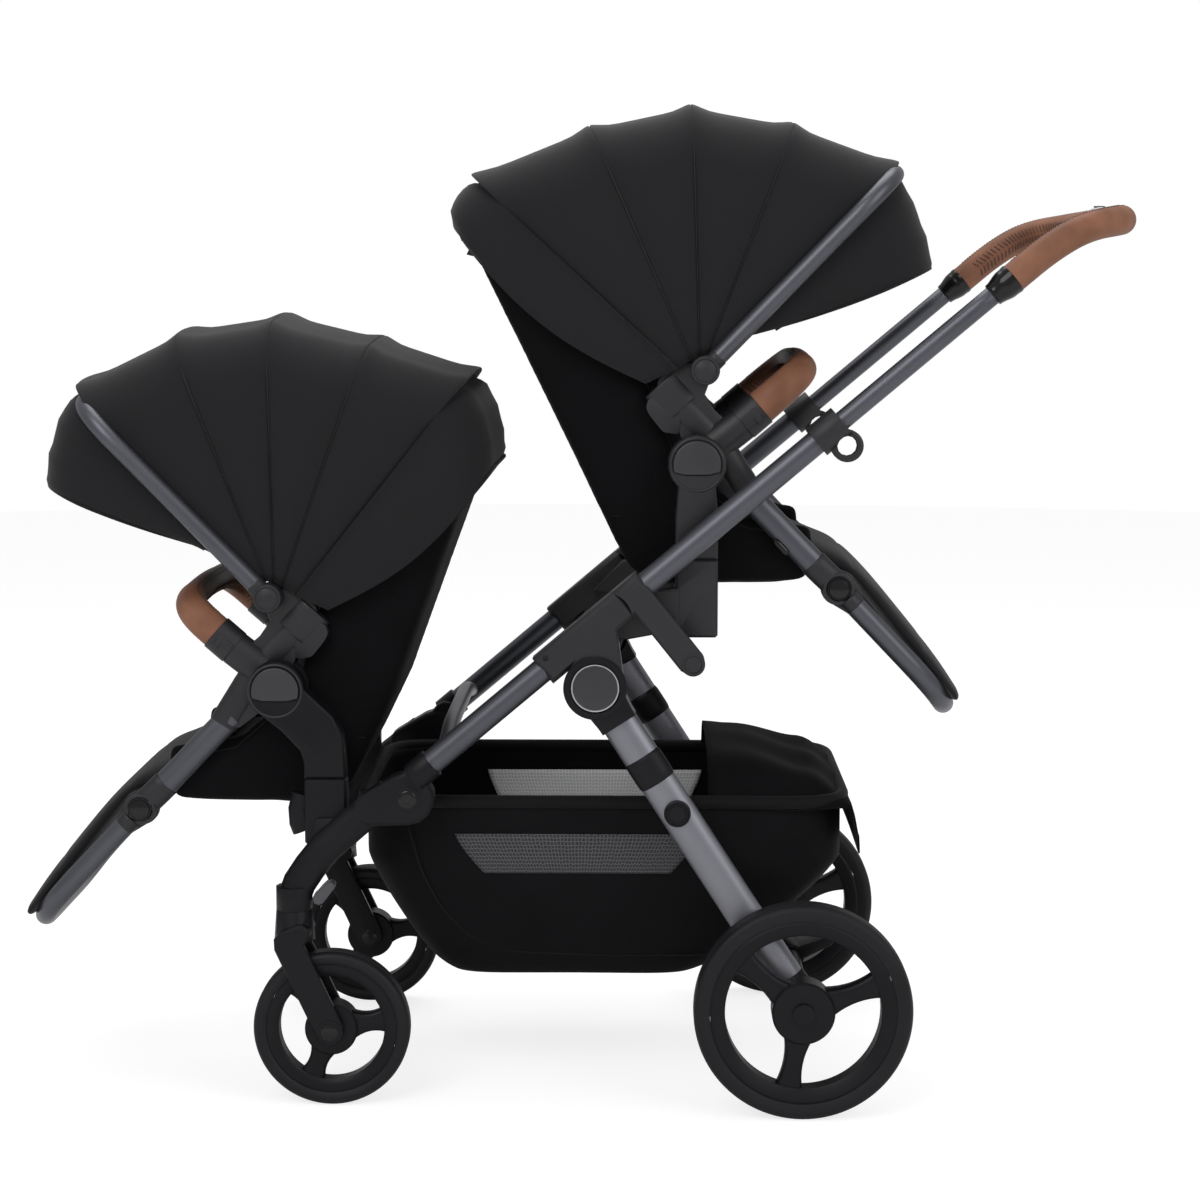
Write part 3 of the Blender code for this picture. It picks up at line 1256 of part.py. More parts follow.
def build_seats(materials):
    """Two seats from the same meshes: the upper faces the handle, the lower faces forwards."""
    uppers = seat_pivots("upper", UPPER_SEAT, 0.0)
    lowers = seat_pivots("lower", LOWER_SEAT, math.pi)
    for name, body, finish, pivot in build_seat_pieces():
        mesh = uppers[pivot].carry("upper_" + name, body, materials[finish])
        lowers[pivot].carry_mesh("lower_" + name, mesh.copy(), materials[finish])
    for prefix, seat, socket in (("upper", UPPER_SEAT, UPPER_SOCKET), ("lower", LOWER_SEAT, LOWER_SOCKET)):
        for side, post in both_sides(lambda way: adapter(way, seat, socket)):
            label = side_name(side)
            chassis = Pivot(f"{prefix}_adapter_{label}_place", (seat[0], side * ADAPTER_Y, seat[1]))
            chassis.carry(f"{prefix}_adapter_{label}", post, materials["black"])
        for side, cap in both_sides(lambda way: release_button(way, seat)):
            label = side_name(side)
            button = Pivot(f"{prefix}_button_{label}_axis", (seat[0], side * ADAPTER_OUTER, seat[1]))
            button.carry(f"{prefix}_button_{label}", cap, materials["black"])


def build_chassis(materials):
    """Hubs, front frame, front legs and basket."""
    chassis = Pivot("chassis", (0, 0, 0))
    chassis.carry("front_frame", front_frame(), materials["gunmetal"])
    chassis.carry("basket_frame", basket_frame(), materials["black"])
    chassis.carry("basket", basket(), materials["fabric"])
    for side, body in both_sides(hub_housing):
        chassis.carry(f"hub_housing_{side_name(side)}", body, materials["black"])
    for side, body in both_sides(front_leg):
        chassis.carry(f"front_leg_{side_name(side)}", body, materials["black"])
    axis = lock_pivot()
    for side, body in both_sides(swivel_lock):
        label = side_name(side)
        lock = Pivot(f"swivel_lock_{label}_axis", (axis[0], side * LEG_Y, axis[1]))
        lock.carry(f"swivel_lock_{label}", body, materials["grey"])


def build_casters(materials):
    """Swivel forks and front wheels."""
    for side, fork in both_sides(caster_fork):
        label = side_name(side)
        swivel = Pivot(f"caster_{label}_axis", (SWIVEL_X, side * LEG_Y, CROWN_SEAM))
        swivel.carry(f"caster_fork_{label}", fork, materials["black"])
        axle = Pivot(f"front_wheel_{label}_axis", (FRONT_AXLE[0], side * LEG_Y, FRONT_AXLE[1]), swivel)
        tread = tyre(FRONT_AXLE, side * LEG_Y, FRONT_WHEEL_RADIUS, FRONT_RIM_RADIUS + FIT, FRONT_WHEEL_WIDTH)
        axle.carry(f"front_tyre_{label}", tread, materials["rubber"])
        radii = (FRONT_RIM_RADIUS, FRONT_WINDOW_RADIUS, FRONT_HUB_RADIUS)
        wheel = rim(FRONT_AXLE, side * LEG_Y, radii, FRONT_WHEEL_WIDTH, AXLE_RADIUS, math.radians(8))
        axle.carry(f"front_rim_{label}", wheel, materials["black"])


def build_rear(materials):
    """Rear legs, axle, pedal and rear wheels."""
    fold = Pivot("rear_fold_axis", (REAR_PIVOT[0], 0, REAR_PIVOT[1]))
    fold.carry("rear_axle", rear_axle(), materials["black"])
    axle_place = (REAR_AXLE[0], 0, REAR_AXLE[1])
    pedal = Pivot("brake_pedal_axis", axle_place, fold)
    pedal.carry("brake_pedal", brake_pedal(), materials["black"])
    for side, leg in both_sides(rear_leg):
        label = side_name(side)
        fold.carry(f"rear_leg_{label}", leg, materials["gunmetal"])
        y = side * REAR_WHEEL_Y
        axle = Pivot(f"rear_wheel_{label}_axis", (REAR_AXLE[0], y, REAR_AXLE[1]), fold)
        tread = tyre(REAR_AXLE, y, REAR_WHEEL_RADIUS, REAR_RIM_RADIUS + FIT, REAR_WHEEL_WIDTH)
        axle.carry(f"rear_tyre_{label}", tread, materials["rubber"])
        radii = (REAR_RIM_RADIUS, REAR_WINDOW_RADIUS, REAR_HUB_RADIUS)
        wheel = rim(REAR_AXLE, y, radii, REAR_WHEEL_WIDTH, STUB_RADIUS, math.radians(20))
        axle.carry(f"rear_rim_{label}", wheel, materials["black"])


def build_handle(materials):
    """The folding handle frame and the telescopic push handle."""
    fold = Pivot("handle_fold_axis", (HANDLE_PIVOT[0], 0, HANDLE_PIVOT[1]))
    for side, body in both_sides(handle_tube):
        fold.carry(f"handle_tube_{side_name(side)}", body, materials["gunmetal"])
    for side, body in both_sides(ring_clamp):
        fold.carry(f"ring_clamp_{side_name(side)}", body, materials["black"])
    for side, body in both_sides(hinge_arm):
        fold.carry(f"hinge_arm_{side_name(side)}", body, materials["black"])
    start = along(CLAMP_END)
    slide = Pivot("handle_slide_axis", (start[0], 0, start[1]), fold)
    slide.carry("handle_bar", handle_bar(), materials["gunmetal"])
    slide.carry("handle_grip", handle_grip(), materials["leather"])
    trigger = Pivot("fold_trigger_axis", (GRIP_REACH, 0, GRIP_HEIGHT + GRIP_RADIUS), slide)
    trigger.carry("fold_trigger", fold_trigger(), materials["silver"])


def centre_on_floor():
    """Move the whole stroller so that the middle of its outline on the floor is the origin."""
    bpy.context.view_layer.update()
    xs = []
    for obj in bpy.data.objects:
        if obj.type == "MESH":
            xs += [(obj.matrix_world @ Vector(corner)).x for corner in obj.bound_box]
    middle = (min(xs) + max(xs)) / 2
    for obj in bpy.data.objects:
        if obj.parent is None:
            obj.location.x -= middle


def main():
    """Build the stroller."""
    clear_scene()
    materials = {
        "gunmetal": make_material("gunmetal", (0.085, 0.087, 0.102), 0.35, 0.85),
        "black": make_material("black", (0.026, 0.026, 0.031), 0.5, 0.0),
        "rubber": make_material("rubber", (0.020, 0.020, 0.023), 0.6, 0.0),
        "grey": make_material("grey", (0.20, 0.20, 0.22), 0.5, 0.0),
        "silver": make_material("silver", (0.52, 0.53, 0.56), 0.4, 0.3),
        "fabric": make_material("fabric", (0.012, 0.012, 0.015), 0.9, 0.0),
        "leather": make_material("leather", (0.19, 0.085, 0.050), 0.45, 0.0),
    }
    build_chassis(materials)
    build_casters(materials)
    build_rear(materials)
    build_handle(materials)
    build_seats(materials)
    centre_on_floor()


main()
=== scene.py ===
"""Looks of the convertible double stroller: finishes, soft goods, trim and studio.

Metres, +Z up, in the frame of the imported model. The stroller drives towards -X. A seat is written once in its
own side view, (u, w) from its pivot disc with the child facing +u, and placed twice.
"""

import json
import logging
import math
from dataclasses import dataclass, field
from enum import Enum
from typing import Callable, Sequence

import bmesh
import bpy
from mathutils import Matrix, Vector


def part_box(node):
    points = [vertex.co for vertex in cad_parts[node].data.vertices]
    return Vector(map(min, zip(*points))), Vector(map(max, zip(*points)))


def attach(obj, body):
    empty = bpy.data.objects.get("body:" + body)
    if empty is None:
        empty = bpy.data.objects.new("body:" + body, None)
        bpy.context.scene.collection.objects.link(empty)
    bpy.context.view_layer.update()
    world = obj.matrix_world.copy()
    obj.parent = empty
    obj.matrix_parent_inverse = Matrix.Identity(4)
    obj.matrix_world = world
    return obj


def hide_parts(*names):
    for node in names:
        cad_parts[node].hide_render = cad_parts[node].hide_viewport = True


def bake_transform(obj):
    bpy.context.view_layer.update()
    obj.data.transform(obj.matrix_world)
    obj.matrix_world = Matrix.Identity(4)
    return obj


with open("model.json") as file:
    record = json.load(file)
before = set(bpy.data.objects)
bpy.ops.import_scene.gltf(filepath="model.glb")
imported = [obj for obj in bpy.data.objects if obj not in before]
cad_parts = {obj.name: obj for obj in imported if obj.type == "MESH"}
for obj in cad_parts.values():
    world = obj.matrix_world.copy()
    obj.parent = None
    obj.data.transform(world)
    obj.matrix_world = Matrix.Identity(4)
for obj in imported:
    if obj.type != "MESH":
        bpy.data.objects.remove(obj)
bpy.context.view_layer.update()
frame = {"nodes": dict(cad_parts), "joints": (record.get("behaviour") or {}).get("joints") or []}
LOG = logging.getLogger("stroller")
Place = Callable[[float, float], Vector]
Point = tuple[float, float]
ACROSS = Vector((0, 1, 0))
SHADE_ANGLE = math.radians(38)


class Side(Enum):
    """The two sides of the stroller, with the sign of y on each."""

    LEFT = -1
    RIGHT = 1

    @property
    def label(self) -> str:
        """The side's word in node and body names."""
        return self.name.lower()


class Pattern(Enum):
    """The small surface pattern of a finish."""

    GRAIN = "fine_grain"
    BRUSHED = "drawn_lines"
    KNIT = "knit_loops"
    HIDE = "leather_hide"
    NET = "open_net"


# Small geometry helpers


def joint_place(name: str) -> Vector:
    """Find where a joint's axis stands at rest.

    Args:
        name: The joint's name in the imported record.

    Returns:
        The point in the row frame.
    """
    for joint in frame["joints"]:
        if joint["name"] == name:
            return Vector(joint["pos_m"])
    raise KeyError(name)


def polar(centre: Point, radius: float, degrees: float) -> Point:
    """Give the side view point at a radius and an angle about a centre."""
    angle = math.radians(degrees)
    return (centre[0] + radius * math.cos(angle), centre[1] + radius * math.sin(angle))


def round_end(centre: Point, radius: float, start: float, end: float, steps: int) -> list[Point]:
    """Corners of an arc in the side view."""
    return [polar(centre, radius, a) for a in between(start, end, steps)]


def soft_outline(corners: Sequence[Point], fillet: float) -> list[Point]:
    """A side view outline with its inner corners rounded."""
    return [(p.x, p.y) for p in rounded_path([Vector(c).to_3d() for c in corners], fillet, 4)]


def ease(value: float) -> float:
    """Run smoothly from 0 to 1 while value does."""
    t = min(1.0, max(0.0, value))
    return t * t * (3 - 2 * t)


def between(start: float, end: float, steps: int) -> list[float]:
    """Evenly spaced values with both ends included."""
    return [start + (end - start) * i / steps for i in range(steps + 1)]


def curve_through(points: Sequence[Sequence[float]], value: float) -> float:
    """Read a smooth curve through (position, height) pairs.

    Args:
        points: Pairs in rising order of position.
        value: The position to read.

    Returns:
        The height there.
    """
    if value <= points[0][0]:
        return points[0][1]
    for (x0, y0), (x1, y1) in zip(points, points[1:]):
        if value <= x1:
            return y0 + (y1 - y0) * ease((value - x0) / (x1 - x0))
    return points[-1][1]


def rounded_path(corners: Sequence[Sequence[float]], fillet: float, steps: int = 8) -> list[Vector]:
    """Turn the inner corners of a line into curves.

    Args:
        corners: The line's corner points.
        fillet: How far from a corner its curve starts.
        steps: Pieces in each curve.

    Returns:
        The points of the line.
    """
    points = [Vector(c) for c in corners]
    path = [points[0]]
    for before, point, after in zip(points, points[1:], points[2:]):
        back, ahead = before - point, after - point
        start = point + back.normalized() * min(fillet, back.length * 0.48)
        end = point + ahead.normalized() * min(fillet, ahead.length * 0.48)
        for t in between(0.0, 1.0, steps):
            path.append(start * (1 - t) ** 2 + point * 2 * t * (1 - t) + end * t ** 2)
    path.append(points[-1])
    return path


def lengths_along(path: Sequence[Vector]) -> list[float]:
    """How far along a line each of its points lies.

    Args:
        path: The line.

    Returns:
        One length for each point.
    """
    lengths = [0.0]
    for a, b in zip(path, path[1:]):
        lengths.append(lengths[-1] + (b - a).length)
    return lengths


def even_path(path: Sequence[Vector], step: float) -> list[Vector]:
    """Space the points of a line evenly.

    Args:
        path: The line.
        step: About how far apart the new points lie.

    Returns:
        The new points, both ends included.
    """
    lengths = lengths_along(path)
    count = max(2, round(lengths[-1] / step))
    made = []
    k = 0
    for target in between(0.0, lengths[-1], count):
        while k < len(path) - 2 and lengths[k + 1] < target:
            k += 1
        span = max(lengths[k + 1] - lengths[k], 1e-9)
        made.append(path[k].lerp(path[k + 1], (target - lengths[k]) / span))
    return made


def frames_along(path: Sequence[Vector], side: Vector) -> list[tuple[Vector, Vector, Vector]]:
    """Carry a pair of cross directions along a line without twist.

    Args:
        path: The line.
        side: The first cross direction wanted at its start.

    Returns:
        For each point its place and two unit directions square to the line.
    """
    frames = []
    across = side.normalized()
    for i, point in enumerate(path):
        heading = (path[min(i + 1, len(path) - 1)] - path[max(i - 1, 0)]).normalized()
        across = (across - heading * across.dot(heading)).normalized()
        frames.append((point, across, heading.cross(across)))
    return frames


def new_piece(name: str, bm: bmesh.types.BMesh) -> bpy.types.Object:
    """Make an object from a bmesh and free it.

    Args:
        name: The piece's name.
        bm: Its finished mesh.

    Returns:
        The linked object.
    """
    mesh = bpy.data.meshes.new(name)
    bm.to_mesh(mesh)
    bm.free()
    mesh.shade_smooth()
    mesh.set_sharp_from_angle(angle=SHADE_ANGLE)
    piece = bpy.data.objects.new(name, mesh)
    bpy.context.scene.collection.objects.link(piece)
    return piece


def lattice(
    name: str, columns: Sequence[float], rows: Sequence[float], place: Place,
    measure: Callable[[float, float], Point] | None = None, weld: bool = False,
) -> bpy.types.Object:
    """Lay a grid of faces where a function puts each crossing.

    Args:
        name: The piece's name.
        columns: The first parameter of each column.
        rows: The second parameter of each row.
        place: Gives the point of a column and a row.
        measure: Gives the map coordinates in metres, or None for the parameters themselves.
        weld: Join edges that meet, and turn the closed shape's faces out.

    Returns:
        The piece.
    """
    bm = bmesh.new()
    wide, high = len(columns) - 1, len(rows) - 1
    bmesh.ops.create_grid(bm, x_segments=wide, y_segments=high, size=1.0)
    layer = bm.loops.layers.uv.new("surface")

    def crossing(co: Vector) -> Point:
        """The parameters of a grid corner."""
        return columns[round((co.x + 1) / 2 * wide)], rows[round((co.y + 1) / 2 * high)]

    for face in bm.faces:
        for loop in face.loops:
            spot = crossing(loop.vert.co)
            loop[layer].uv = measure(*spot) if measure else spot
    for vert in bm.verts:
        vert.co = place(*crossing(vert.co))
    if weld:
        bmesh.ops.remove_doubles(bm, verts=bm.verts, dist=1e-5)
        bmesh.ops.recalc_face_normals(bm, faces=bm.faces)
    return new_piece(name, bm)


def sleeve(
    name: str, path: Sequence[Vector], radius: float | Callable[[float], float], side: Vector,
    sides: int = 24, oval: float = 1.0, cap: bool = True,
) -> bpy.types.Object:
    """Wrap a closed skin round a line, with a map in metres along and around it.

    Args:
        name: The piece's name.
        path: The centre line.
        radius: The radius, or a function of the share of the length.
        side: The cross direction where the map's seam lies.
        sides: Faces round the skin.
        oval: The second cross direction's radius as a share of the first.
        cap: Close both ends with a small dome.

    Returns:
        The piece.
    """
    frames = frames_along(path, side)
    lengths = lengths_along(path)
    total = lengths[-1]

    def size(share: float) -> float:
        """The radius at a share of the length."""
        return radius(share) if callable(radius) else radius

    rows = list(range(len(path)))
    if cap:
        rows = [-1.0, -0.6, -0.25] + rows + [rows[-1] + 0.25, rows[-1] + 0.6, rows[-1] + 1.0]

    def place(turn: float, row: float) -> Vector:
        """The skin's point at a turn and a row, with the rows past an end closing it.

        Args:
            turn: Share of the way round.
            row: Number of the path's point, or a little past an end.

        Returns:
            The point.
        """
        k = int(min(max(row, 0), len(path) - 1))
        over = -row if row < 0 else max(0.0, row - (len(path) - 1))
        point, first, second = frames[k]
        r = size(lengths[k] / total)
        heading = first.cross(second) * (-1 if row < 0 else 1)
        shrink = math.sqrt(max(0.0, 1 - over * over))
        bulge = min(0.0015, r * 0.2) * math.sin(over * math.pi / 2)
        angle = turn * 2 * math.pi
        across = first * math.cos(angle) + second * math.sin(angle) * oval
        return point + across * r * shrink + heading * bulge

    def measure(turn: float, row: float) -> Point:
        """The map's point: metres along, metres around."""
        k = int(min(max(row, 0), len(path) - 1))
        return lengths[k], turn * 2 * math.pi * size(lengths[k] / total)

    return lattice(name, between(0.0, 1.0, sides), rows, place, measure, weld=True)


def turned(
    name: str, profile: Sequence[Point], centre: Vector, sides: int, upright: bool = False,
    closed: bool = True, out: int = 1,
) -> bpy.types.Object:
    """Spin a profile of (radius, along) points about an axis across the stroller.

    Args:
        name: The piece's name.
        profile: The profile's corners.
        centre: A point on the axis.
        sides: Faces round the axis.
        upright: Turn it about an upright axis instead.
        closed: Join the profile's last corner to its first.
        out: Which way the profile's second numbers run along the axis.

    Returns:
        The piece.
    """
    bm = bmesh.new()
    verts = [bm.verts.new((r, 0.0, along * out)) for r, along in profile]
    pairs = list(zip(verts, verts[1:]))
    if closed:
        pairs.append((verts[-1], verts[0]))
    edges = [bm.edges.new(pair) for pair in pairs]
    bmesh.ops.spin(
        bm, geom=verts + edges, cent=(0, 0, 0), axis=(0, 0, 1), angle=2 * math.pi, steps=sides, use_merge=True
    )
    bmesh.ops.remove_doubles(bm, verts=bm.verts, dist=1e-6)
    bmesh.ops.recalc_face_normals(bm, faces=bm.faces)
    turn = Matrix.Identity(4) if upright else Matrix.Rotation(-math.pi / 2, 4, "X")
    bmesh.ops.transform(bm, matrix=Matrix.Translation(centre) @ turn, verts=bm.verts)
    return new_piece(name, bm)


def flat_part(
    name: str, outline: Sequence[Point], y0: float, y1: float, bevel: float = 0.001,
) -> bpy.types.Object:
    """Carry a side view outline across the stroller and soften its edges.

    Args:
        name: The piece's name.
        outline: The side view corners.
        y0: One face.
        y1: The other face.
        bevel: Width of the softened edge.

    Returns:
        The piece.
    """
    bm = bmesh.new()
    verts = [bm.verts.new((x, y0, z)) for x, z in outline]
    face = bm.faces.new(verts)
    made = bmesh.ops.extrude_face_region(bm, geom=[face])
    moved = [v for v in made["geom"] if isinstance(v, bmesh.types.BMVert)]
    bmesh.ops.translate(bm, verts=moved, vec=(0, y1 - y0, 0))
    rim = [e for e in bm.edges if abs(e.verts[0].co.y - e.verts[1].co.y) < 1e-7]
    bmesh.ops.bevel(bm, geom=rim, offset=bevel, segments=2, profile=0.5, affect="EDGES", material=-1)
    bmesh.ops.recalc_face_normals(bm, faces=bm.faces)
    return new_piece(name, bm)


def settled(piece: bpy.types.Object) -> bpy.types.Object:
    """Apply a piece's modifiers, so that its mesh is final.

    Args:
        piece: The piece.

    Returns:
        The same piece.
    """
    bpy.context.view_layer.update()
    mesh = bpy.data.meshes.new_from_object(piece.evaluated_get(bpy.context.evaluated_depsgraph_get()))
    piece.modifiers.clear()
    piece.data = mesh
    return piece


def walled(piece: bpy.types.Object, thickness: float, offset: float = 0.0) -> bpy.types.Object:
    """Give a sheet its thickness.

    Args:
        piece: The sheet.
        thickness: The wall's thickness.
        offset: From -1, all of it behind the sheet, to 1.

    Returns:
        The same piece, smooth and final.
    """
    wall = piece.modifiers.new("wall", "SOLIDIFY")
    wall.thickness = thickness
    wall.offset = offset
    settled(piece)
    piece.data.shade_smooth()
    return piece


def joined(name: str, pieces: Sequence[bpy.types.Object]) -> bpy.types.Object:
    """Put several meshes into one piece.

    Args:
        name: The new piece's name.
        pieces: The parts, which are removed.

    Returns:
        The piece.
    """
    bm = bmesh.new()
    for piece in pieces:
        bm.from_mesh(piece.data)
        bpy.data.objects.remove(piece)
    return new_piece(name, bm)


# Finishes


class NodeSheet:
    """A short way to write shader nodes."""

    def __init__(self, tree: bpy.types.NodeTree) -> None:
        """Write into a node tree."""
        self.tree = tree

    def add(self, kind: str, values: dict | None = None, **settings: object) -> bpy.types.Node:
        """Place a node.

        Args:
            kind: The node's type without its ShaderNode prefix.
            values: Input values or sockets by input name or index.
            settings: The node's own properties.

        Returns:
            The node.
        """
        node = self.tree.nodes.new("ShaderNode" + kind)
        for key, value in settings.items():
            setattr(node, key, value)
        for key, value in (values or {}).items():
            if isinstance(value, bpy.types.NodeSocket):
                self.tree.links.new(value, node.inputs[key])
            else:
                node.inputs[key].default_value = value
        return node

    def math(self, operation: str, *values: object) -> bpy.types.NodeSocket:
        """Work out a number from one, two or three others."""
        return self.add("Math", dict(enumerate(values)), operation=operation).outputs[0]

    def noise(self, where: bpy.types.NodeSocket, scale: object, detail: float) -> bpy.types.NodeSocket:
        """Soft noise at a scale, which is a number or a socket."""
        return self.add("TexNoise", {"Vector": where, "Scale": scale, "Detail": detail}).outputs["Fac"]


class Effects:
    """The shader effects that several finishes share."""

    def __init__(self) -> None:
        """Build each effect once."""
        self.groups = {
            Pattern.GRAIN: self.clouded(Pattern.GRAIN, 3.0, 9.0, 2.0),
            Pattern.BRUSHED: self.clouded(Pattern.BRUSHED, 1.0, 5.0, 3.0),
            Pattern.KNIT: self.knit(),
            Pattern.HIDE: self.hide(),
            Pattern.NET: self.net(),
        }

    @staticmethod
    def start(pattern: Pattern) -> tuple[NodeSheet, bpy.types.NodeSocket, bpy.types.NodeSocket]:
        """Open a group that turns a place into a height and a mottle.

        Args:
            pattern: The pattern that the group draws.

        Returns:
            Its sheet, and the sockets of the place and the scale.
        """
        tree = bpy.data.node_groups.new(pattern.value, "ShaderNodeTree")
        for label, way, kind in (
            ("Place", "INPUT", "Vector"), ("Scale", "INPUT", "Float"),
            ("Height", "OUTPUT", "Float"), ("Mottle", "OUTPUT", "Float"),
        ):
            tree.interface.new_socket(label, in_out=way, socket_type="NodeSocket" + kind)
        enter = tree.nodes.new("NodeGroupInput").outputs
        tree.nodes.new("NodeGroupOutput").name = "out"
        return NodeSheet(tree), enter[0], enter[1]

    @staticmethod
    def close(
        sheet: NodeSheet, height: bpy.types.NodeSocket, mottle: bpy.types.NodeSocket,
    ) -> bpy.types.NodeTree:
        """Join a group's results to its outputs.

        Args:
            sheet: The group's sheet.
            height: The small relief.
            mottle: The soft variation of colour and gloss.

        Returns:
            The finished group.
        """
        leave = sheet.tree.nodes["out"].inputs
        sheet.tree.links.new(height, leave[0])
        sheet.tree.links.new(mottle, leave[1])
        return sheet.tree

    def clouded(self, pattern: Pattern, detail: float, clouds: float, depth: float) -> bpy.types.NodeTree:
        """A fine even bite with wide soft clouds, for moulded plastic and for blasted metal.

        Args:
            pattern: The pattern that it stands for.
            detail: Detail of the fine bite.
            clouds: Scale of the clouds.
            depth: Detail of the clouds.

        Returns:
            The group.
        """
        sheet, where, scale = self.start(pattern)
        return self.close(sheet, sheet.noise(where, scale, detail), sheet.noise(where, clouds, depth))

    def knit(self) -> bpy.types.NodeTree:
        """Fine loops in staggered rows, from two crossing waves.

        Returns:
            The group.
        """
        sheet, where, scale = self.start(Pattern.KNIT)
        parts = sheet.add("SeparateXYZ", {0: where})
        turn = sheet.math("MULTIPLY", scale, 2 * math.pi)
        first = sheet.math("MULTIPLY", sheet.math("ADD", parts.outputs[0], parts.outputs[2]), turn)
        second = sheet.math("MULTIPLY", sheet.math("ADD", parts.outputs[1], parts.outputs[2]), turn)
        row = sheet.math("SINE", second)
        slant = sheet.math("SINE", sheet.math("ADD", first, sheet.math("MULTIPLY", row, 1.2)))
        height = sheet.math("MULTIPLY_ADD", sheet.math("ADD", slant, row), 0.25, 0.5)
        return self.close(sheet, height, sheet.noise(where, 14.0, 4.0))

    def hide(self) -> bpy.types.NodeTree:
        """Pebbled leather: small cells with softer clouds of colour.

        Returns:
            The group.
        """
        sheet, where, scale = self.start(Pattern.HIDE)
        cells = sheet.add("TexVoronoi", {"Vector": where, "Scale": scale}, feature="SMOOTH_F1")
        height = sheet.math("MULTIPLY_ADD", sheet.noise(where, 260.0, 3.0), 0.4, cells.outputs["Distance"])
        return self.close(sheet, height, sheet.noise(where, 22.0, 5.0))

    def net(self) -> bpy.types.NodeTree:
        """A honeycomb net: pale threads round dark holes.

        Returns:
            The group.
        """
        sheet, where, scale = self.start(Pattern.NET)
        cells = sheet.add(
            "TexVoronoi", {"Vector": where, "Scale": scale, "Randomness": 0.25},
            feature="DISTANCE_TO_EDGE", voronoi_dimensions="2D",
        )
        thread = sheet.add("MapRange", {0: cells.outputs["Distance"], 1: 0.05, 2: 0.22, 3: 1.0, 4: 0.0})
        tone = sheet.add("MapRange", {0: thread.outputs[0], 3: 0.3, 4: 0.7})
        return self.close(sheet, thread.outputs[0], tone.outputs[0])


@dataclass(frozen=True)
class Finish:
    """One surface finish: its colour range, gloss and small pattern."""

    name: str
    slot: str
    dark: tuple[float, float, float]
    light: tuple[float, float, float]
    rough: tuple[float, float]
    metallic: float = 0.0
    pattern: Pattern = Pattern.GRAIN
    scale: float = 900.0
    bump: float = 0.1
    depth: float = 0.0002
    sheen: float = 0.0
    coat: float = 0.0
    specular: float = 0.5
    mapped: bool = False
    sheen_rough: float = 0.45
    coat_rough: float = 0.12

    def make(self, effects: Effects) -> bpy.types.Material:
        """Build the material.

        Args:
            effects: The shared effects.

        Returns:
            The material.
        """
        material = bpy.data.materials.new(self.name)
        material.use_nodes = True
        sheet = NodeSheet(material.node_tree)
        shader = material.node_tree.nodes["Principled BSDF"]
        for socket, value in (
            ("Metallic", self.metallic), ("Specular IOR Level", self.specular),
            ("Sheen Weight", self.sheen), ("Sheen Roughness", self.sheen_rough),
            ("Coat Weight", self.coat), ("Coat Roughness", self.coat_rough),
        ):
            shader.inputs[socket].default_value = value
        where = sheet.add("TexCoord").outputs["UV" if self.mapped else "Object"]
        effect = sheet.add("Group", node_tree=effects.groups[self.pattern])
        sheet.tree.links.new(where, effect.inputs["Place"])
        effect.inputs["Scale"].default_value = self.scale
        mottle = sheet.add("MapRange", {0: effect.outputs["Mottle"], 1: 0.3, 2: 0.7, 3: 0.0, 4: 1.0})
        colour = sheet.add(
            "Mix", {0: mottle.outputs[0], 6: (*self.dark, 1.0), 7: (*self.light, 1.0)}, data_type="RGBA"
        )
        gloss = sheet.add("MapRange", {0: mottle.outputs[0], 3: self.rough[0], 4: self.rough[1]})
        bump = sheet.add(
            "Bump", {"Strength": self.bump, "Distance": self.depth, "Height": effect.outputs["Height"]}
        )
        sheet.tree.links.new(colour.outputs[2], shader.inputs["Base Color"])
        sheet.tree.links.new(gloss.outputs[0], shader.inputs["Roughness"])
        sheet.tree.links.new(bump.outputs[0], shader.inputs["Normal"])
        return material


